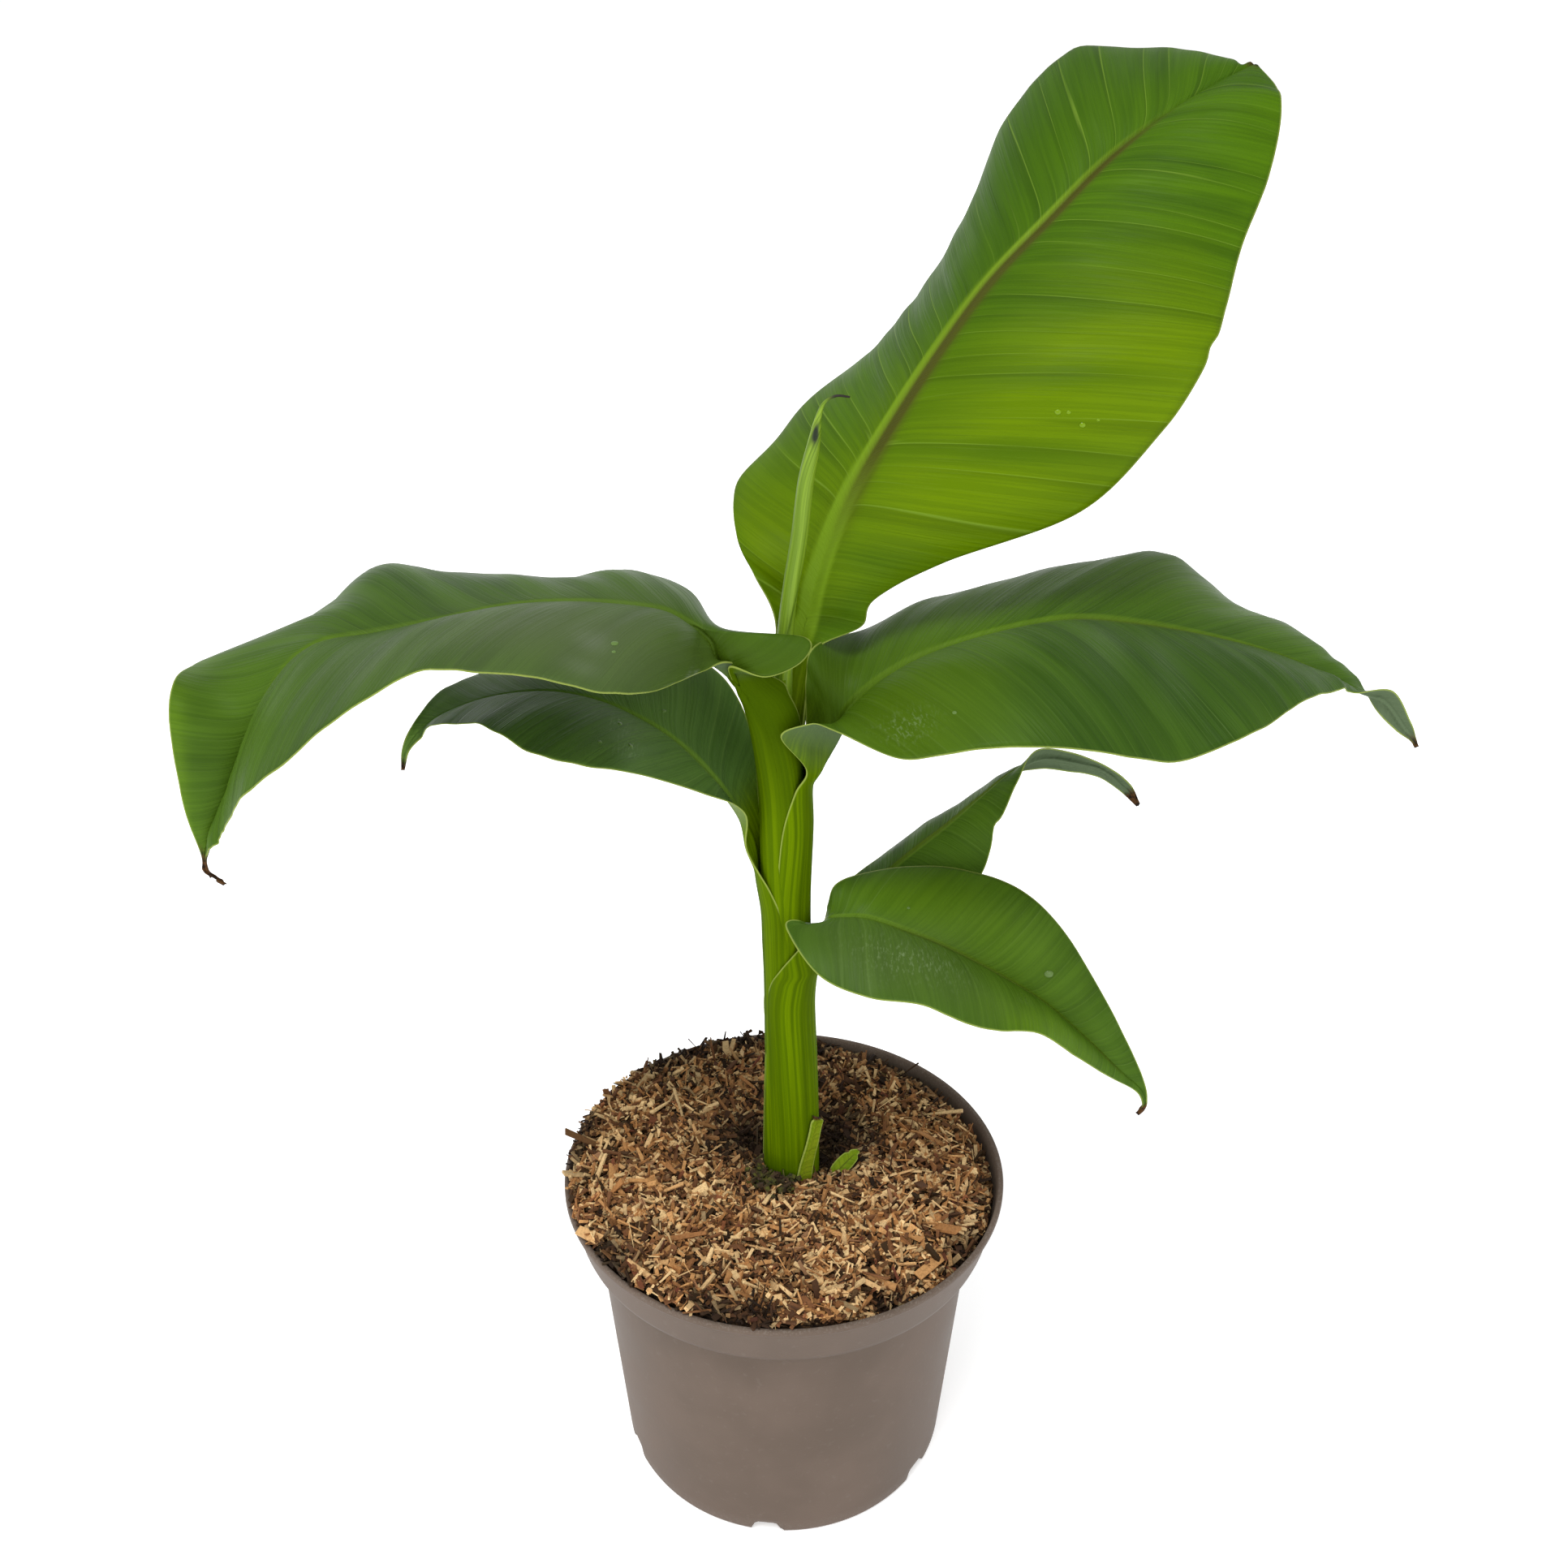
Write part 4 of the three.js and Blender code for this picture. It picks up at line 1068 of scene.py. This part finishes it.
def build_pot():
    """The moulded pot, spun from one profile: along the underside, up the outside, over the lip and down.

    The small steps in the profile round its edges. The notches are cut up into the foot.
    """
    lip_bottom = POT_HEIGHT - LIP_HEIGHT
    profile = [
        (0, 0), (BASE_RADIUS - 12, 0), (BASE_RADIUS - 10, 0), (BASE_RADIUS - 3, 0),
        (BASE_RADIUS - 0.9, 0.9), (BASE_RADIUS, 3), (BASE_RADIUS + 0.7, 12),
        (BASE_RADIUS + 1.0, 16), (BASE_RADIUS + 1.3, 20),
        (BODY_TOP_RADIUS - 0.6, BAND_BOTTOM - 12), (BODY_TOP_RADIUS, BAND_BOTTOM - 7),
        (BODY_TOP_RADIUS + 1.2, BAND_BOTTOM - 4), (BODY_TOP_RADIUS + 4.4, BAND_BOTTOM - 1.4),
        (BAND_RADIUS - 4, BAND_BOTTOM + 1), (BAND_RADIUS - 1.2, BAND_BOTTOM + 3.6),
        (BAND_RADIUS, BAND_BOTTOM + 7), (RIM_RADIUS - 2.2, lip_bottom - 1), (RIM_RADIUS - 1.8, lip_bottom),
        (RIM_RADIUS - 0.6, lip_bottom + 0.6), (RIM_RADIUS, lip_bottom + 1.6),
        (RIM_RADIUS, POT_HEIGHT - 1), (RIM_RADIUS - 0.7, POT_HEIGHT), (RIM_RADIUS - 2.6, POT_HEIGHT),
        (RIM_RADIUS - 3.3, POT_HEIGHT - 0.8), (RIM_RADIUS - 4.5, POT_HEIGHT - 8),
        (BAND_RADIUS - POT_WALL, BAND_BOTTOM + POT_WALL), (BODY_TOP_RADIUS - POT_WALL, BAND_BOTTOM - 1),
        (BASE_RADIUS - POT_WALL, 6), (BASE_RADIUS - POT_WALL - 2, 4), (0, 4),
    ]
    bm = bmesh.new()
    worn = bm.verts.layers.float.new("worn")
    painted_band_shade = bm.verts.layers.float.new("painted_band_shade")
    spin_profile(bm, profile, POT_SEGMENTS)
    bmesh.ops.recalc_face_normals(bm, faces=bm.faces)
    half_notch = NOTCH_WIDTH / 2 / BASE_RADIUS
    for vert in bm.verts:
        radius = vert.co.xy.length / MM
        height = vert.co.z / MM
        angle = math.atan2(vert.co.y, vert.co.x)
        for k in range(NOTCH_COUNT):
            centre = math.radians(FIRST_NOTCH_DEGREES + 360 * k / NOTCH_COUNT)
            gap = abs((angle - centre + math.pi) % (2 * math.pi) - math.pi)
            if gap < half_notch and radius > BASE_RADIUS - NOTCH_DEPTH and height < 3.5:
                lift = NOTCH_HEIGHT * (1 - (gap / half_notch) ** 6)
                vert.co.z = max(height, lift) * MM
        vert[worn] = 0.5 * smoothstep(POT_HEIGHT - 4, POT_HEIGHT - 0.5, height)
        vert[worn] += 0.4 * (1 - smoothstep(2, 9, height))
        # Painted shade along the underside of the rim band
        vert[painted_band_shade] = 0.8 * bell(height, BAND_BOTTOM - 2, 5) if radius < BAND_RADIUS else 0.0
    bmesh.ops.recalc_face_normals(bm, faces=bm.faces)
    add_piece("nursery_pot", bm, pot_material(), ["pot"])


build_pot()


# Soil

SOIL_SEED = 11
SOIL_LEVEL = 206
SOIL_RADIUS = 134
SOIL_RINGS = 46
SOIL_SEGMENTS = 160
HEAP_ANGLE = math.radians(183)
CHIP_COUNT = 14000
FIBRE_COUNT = 3000
SHARD_COUNT = 700

# How far out chips are strewn, and how far they may reach inside the rim band and over it
CHIP_FIELD = 137
REACH_INSIDE = 132.5
REACH_OVER = 140

# Hollows in the soil: a centre, a depth and a squared spread
HOLLOWS = [(25, 16, 13, 420), (-20, 22, 8, 380), (4, 0, 3, 600)]


def spot(x, y, centre_x, centre_y, spread):
    """One at the centre, falling away all round it."""
    return math.exp(-((x - centre_x) ** 2 + (y - centre_y) ** 2) / spread)


def soil_height(x, y):
    """Surface of the soil: heaped over the rim at the left, lower at the right, hollow round the stem."""
    radius = math.hypot(x, y)
    left = math.cos(math.atan2(y, x) - HEAP_ANGLE)
    height = 207.5 + smoothstep(20, 120, radius) * (1 + 3.5 * left) - 1.5 * smoothstep(120, 136, radius)
    for centre_x, centre_y, depth, spread in HOLLOWS:
        height -= depth * spot(x, y, centre_x, centre_y, spread)
    height -= 8 * smoothstep(116, 134, radius) * smoothstep(0.05, 0.5, -left)
    return height + 1.8 * ripple(x / 26, y / 26, 3.1) + 1.1 * ripple(x / 8, y / 8, 7.7)


def chip_darkness(x, y):
    """How dark the chips are painted: painted shade in the hollows, darker along the back and in patches
    along the rim.
    """
    radius = math.hypot(x, y)
    painted_hollow_shade = 1.3 * spot(x, y, 26, 22, 950) + spot(x, y, -24, 24, 700)
    back = 0.36 * smoothstep(30, 110, y + 25 * ripple(x / 30, y / 30, 1.7))
    rim = smoothstep(112, 134, radius) * smoothstep(-0.1, 0.5, ripple(x / 35, y / 35, 5.2) + 0.25)
    return min(1.0, painted_hollow_shade + back + 0.8 * rim)


def build_soil_bed():
    """The root ball: a fine surface that follows the soil's height, over walls inside the pot's.

    The surface is spun one metre up, well clear of the walls, and is then laid on the soil's height.
    """
    surface_height = 1 / MM
    bm = bmesh.new()
    profile = [(SOIL_RADIUS * k / SOIL_RINGS, surface_height) for k in range(SOIL_RINGS + 1)]
    profile += [(131, BAND_BOTTOM + 6), (118, BAND_BOTTOM - 1), (105, 8), (103, 4.6), (0, 4.6)]
    spin_profile(bm, profile, SOIL_SEGMENTS)
    for vert in bm.verts:
        if vert.co.z > 0.9:
            vert.co.z = soil_height(vert.co.x / MM, vert.co.y / MM) * MM
    bmesh.ops.recalc_face_normals(bm, faces=bm.faces)
    add_piece("soil_bed", bm, soil_material(), ["root_ball"])


def chip_template():
    """The corners and faces of one chip, a unit block, that every chip is cut from."""
    bm = bmesh.new()
    bmesh.ops.create_cube(bm, size=1)
    corners = [vert.co.copy() for vert in bm.verts]
    faces = [[vert.index for vert in face.verts] for face in bm.faces]
    bm.free()
    return corners, faces


def build_chips(name, count, sizes, seed, material, lift, tilt_degrees, brightness, patch=None):
    """Loose chips: each a small tapered splinter of six faces, lying where the soil's surface carries it.

    The sizes are a usual chip's length, width and depth, and the lift is how high the topmost chips lie.
    Low chips are painted darker, as shade between the chips. A patch is a centre and a spread in place of
    the whole pot.
    """
    dice = random.Random(seed)
    corners, template_faces = chip_template()
    points = []
    faces = []
    facts = {"shade": [], "painted_shade_and_dark_patches": [], "red": []}
    centre, stem_radius = stem_at(SOIL_LEVEL)
    for _ in range(count):
        radius = CHIP_FIELD * math.sqrt(dice.random())
        angle = dice.uniform(0, 2 * math.pi)
        x, y = radius * math.cos(angle), radius * math.sin(angle)
        if patch:
            x, y = dice.gauss(patch[0], patch[2]), dice.gauss(patch[1], patch[2])
        length = min(dice.lognormvariate(math.log(sizes[0]), 0.42), sizes[0] * 2.6)
        width = dice.lognormvariate(math.log(sizes[1]), 0.35)
        depth = dice.lognormvariate(math.log(sizes[2]), 0.3)
        red = 0.7 if dice.random() < 0.05 else 0.0
        heading = dice.uniform(0, 2 * math.pi)
        tilt = math.radians(dice.gauss(0, tilt_degrees))
        roll = math.radians(dice.gauss(0, 30))
        share = dice.random()
        # Each chip's tone varies at random, and the lower it lies the darker it is painted, as shade between
        # the chips
        shade = min(1, max(0, dice.gauss(brightness - 0.4 * (1 - share), 0.38)))
        taper = dice.uniform(0.35, 1.0)
        bend = dice.uniform(-0.12, 0.12) * length
        if (x - centre.x) ** 2 + (y - centre.y) ** 2 < (stem_radius + 1) ** 2:
            continue
        run = math.cos(tilt)
        forward = Vector((math.cos(heading) * run, math.sin(heading) * run, math.sin(tilt)))
        sideways = Vector((-math.sin(heading), math.cos(heading), 0))
        normal = forward.cross(sideways)
        sideways = sideways * math.cos(roll) + normal * math.sin(roll)
        normal = forward.cross(sideways)
        half_rise = abs(math.sin(tilt)) * length / 2
        place = Vector((x, y, soil_height(x, y) + lift * share + half_rise * 0.6))
        half_chip = forward.xy * length / 2
        reach = max((place.xy + half_chip).length, (place.xy - half_chip).length)
        limit = REACH_INSIDE if place.z - half_rise < POT_HEIGHT + 0.4 else REACH_OVER
        if reach > limit:
            inward = 1 - (reach - limit) / max(place.xy.length, 1)
            place.x *= inward
            place.y *= inward
        first = len(points)
        for a, b, c in corners:
            narrow = taper if a > 0 else 1.0
            points.append((place + forward * a * length + sideways * (b * width * narrow + bend * a)
                           + normal * c * depth * narrow) * MM)
        faces.extend([first + k for k in face] for face in template_faces)
        # Painted shade on low chips and in the hollows, and darker patches along the back and the rim
        painted_shade_and_dark_patches = min(0.96, chip_darkness(x, y) * 0.86 + 0.9 * (1 - share) ** 1.3)
        for key, value in (("shade", shade), ("painted_shade_and_dark_patches", painted_shade_and_dark_patches), ("red", red)):
            facts[key].extend([value] * len(corners))
    mesh = bpy.data.meshes.new(name)
    mesh.from_pydata(points, [], faces)
    for key, values in facts.items():
        mesh.attributes.new(key, "FLOAT", "POINT").data.foreach_set("value", values)
    place_piece(name, mesh, material)


# Each call gives a name, a count, a usual chip's sizes, a seed, a material, a lift, a spread of tilts in
# degrees, a lightness from 0 to 1 and, for a patch, its centre and spread.
build_soil_bed()
chips = chip_material()
build_chips("wood_chips", CHIP_COUNT, (5.6, 2.1, 1.3), SOIL_SEED, chips, 4.6, 30, 0.78)
build_chips("wood_fibres", FIBRE_COUNT, (10, 0.8, 0.6), SOIL_SEED + 1, chips, 4.8, 20, 0.74)
build_chips("wood_shards", SHARD_COUNT, (14, 3.0, 1.3), SOIL_SEED + 2, chips, 5.0, 15, 0.82)
foot, foot_radius = stem_at(SOIL_LEVEL)
moss_patch = (foot.x - 0.55 * foot_radius, foot.y - 0.9 * foot_radius, 0.45 * foot_radius)
build_chips("moss_crumbs", 560, (3.8, 2.0, 1.5), SOIL_SEED + 3, moss_material(), 12, 30, 0.5, moss_patch)
build_chips("back_shreds", 1500, (8.5, 2.2, 1.2), SOIL_SEED + 5, chips, 5, 24, 0.68, (0, 58, 27))
build_chips("rim_tuft", 90, (9, 0.8, 0.6), SOIL_SEED + 4, chips, 3.5, 30, 0.05, (-13, -131, 4))


# Floor, light and camera

FLOOR_HALF_SIDE = 40
FLOOR_GLOW = 0.42
DOME_STRENGTH = 0.7
HORIZON_STRENGTH = 1.05


def build_stage():
    """A plain white floor, wide enough to reach the far edge of the view."""
    bm = bmesh.new()
    bmesh.ops.create_grid(bm, x_segments=1, y_segments=1, size=FLOOR_HALF_SIDE)
    mesh = bpy.data.meshes.new("floor")
    bm.to_mesh(mesh)
    bm.free()
    floor = add_object("floor", mesh)
    material, tree, shader = new_material("white_floor")
    look = {"Base Color": (0.95, 0.95, 0.95, 1), "Roughness": 0.9, "Specular IOR Level": 0.0,
            "Emission Color": (1, 1, 1, 1), "Emission Strength": FLOOR_GLOW}
    set_inputs(tree, shader, look)
    mesh.materials.append(material)


def build_sky():
    """An even white studio dome, brightest low down so that the background is white."""
    world = bpy.data.worlds.new("studio")
    world.use_nodes = True
    tree = world.node_tree
    height = add_node(tree, "SeparateXYZ", {0: add_node(tree, "TexCoord")}, 2)
    glare = {0: height, 1: 0.08, 2: 0.35, 3: HORIZON_STRENGTH, 4: DOME_STRENGTH}
    glare = add_node(tree, "MapRange", glare)
    set_inputs(tree, tree.nodes["Background"], {"Color": (0.98, 0.99, 1.0, 1), "Strength": glare})
    bpy.context.scene.world = world


def add_lamp(name, kind, place, target, power, **settings):
    """A lamp at a place, in metres, that shines towards its target."""
    lamp_data = bpy.data.lights.new(name, kind)
    lamp_data.energy = power
    for key, value in settings.items():
        setattr(lamp_data, key, value)
    lamp = add_object(name, lamp_data)
    lamp.location = place
    lamp.rotation_euler = (Vector(target) - Vector(place)).to_track_quat("-Z", "Y").to_euler()


build_stage()
build_sky()
add_lamp("soft_key", "SUN", (-0.45, -0.85, 2.6), (0, 0, 0.3), 1.5, angle=math.radians(24))
add_lamp("left_fill", "AREA", (-1.3, -1.0, 0.9), (-0.15, 0, 0.5), 4, shape="DISK", size=0.9)
add_lamp("front_softbox", "AREA", (0.9, -2.0, 1.3), (0, 0, 0.4), 7, shape="DISK", size=1.2)

camera_data = bpy.data.cameras.new("camera")
camera_data.sensor_width = SENSOR_MM
camera_data.lens = SENSOR_MM * FOCAL_PIXELS / PHOTO_SIDE
camera = add_object("camera", camera_data)
camera.location = CAMERA_PLACE
camera.rotation_euler = (math.radians(90 - CAMERA_PITCH_DEGREES), 0, 0)
bpy.context.scene.camera = camera
bpy.context.scene.view_settings.view_transform = "Standard"

bpy.context.view_layer.update()
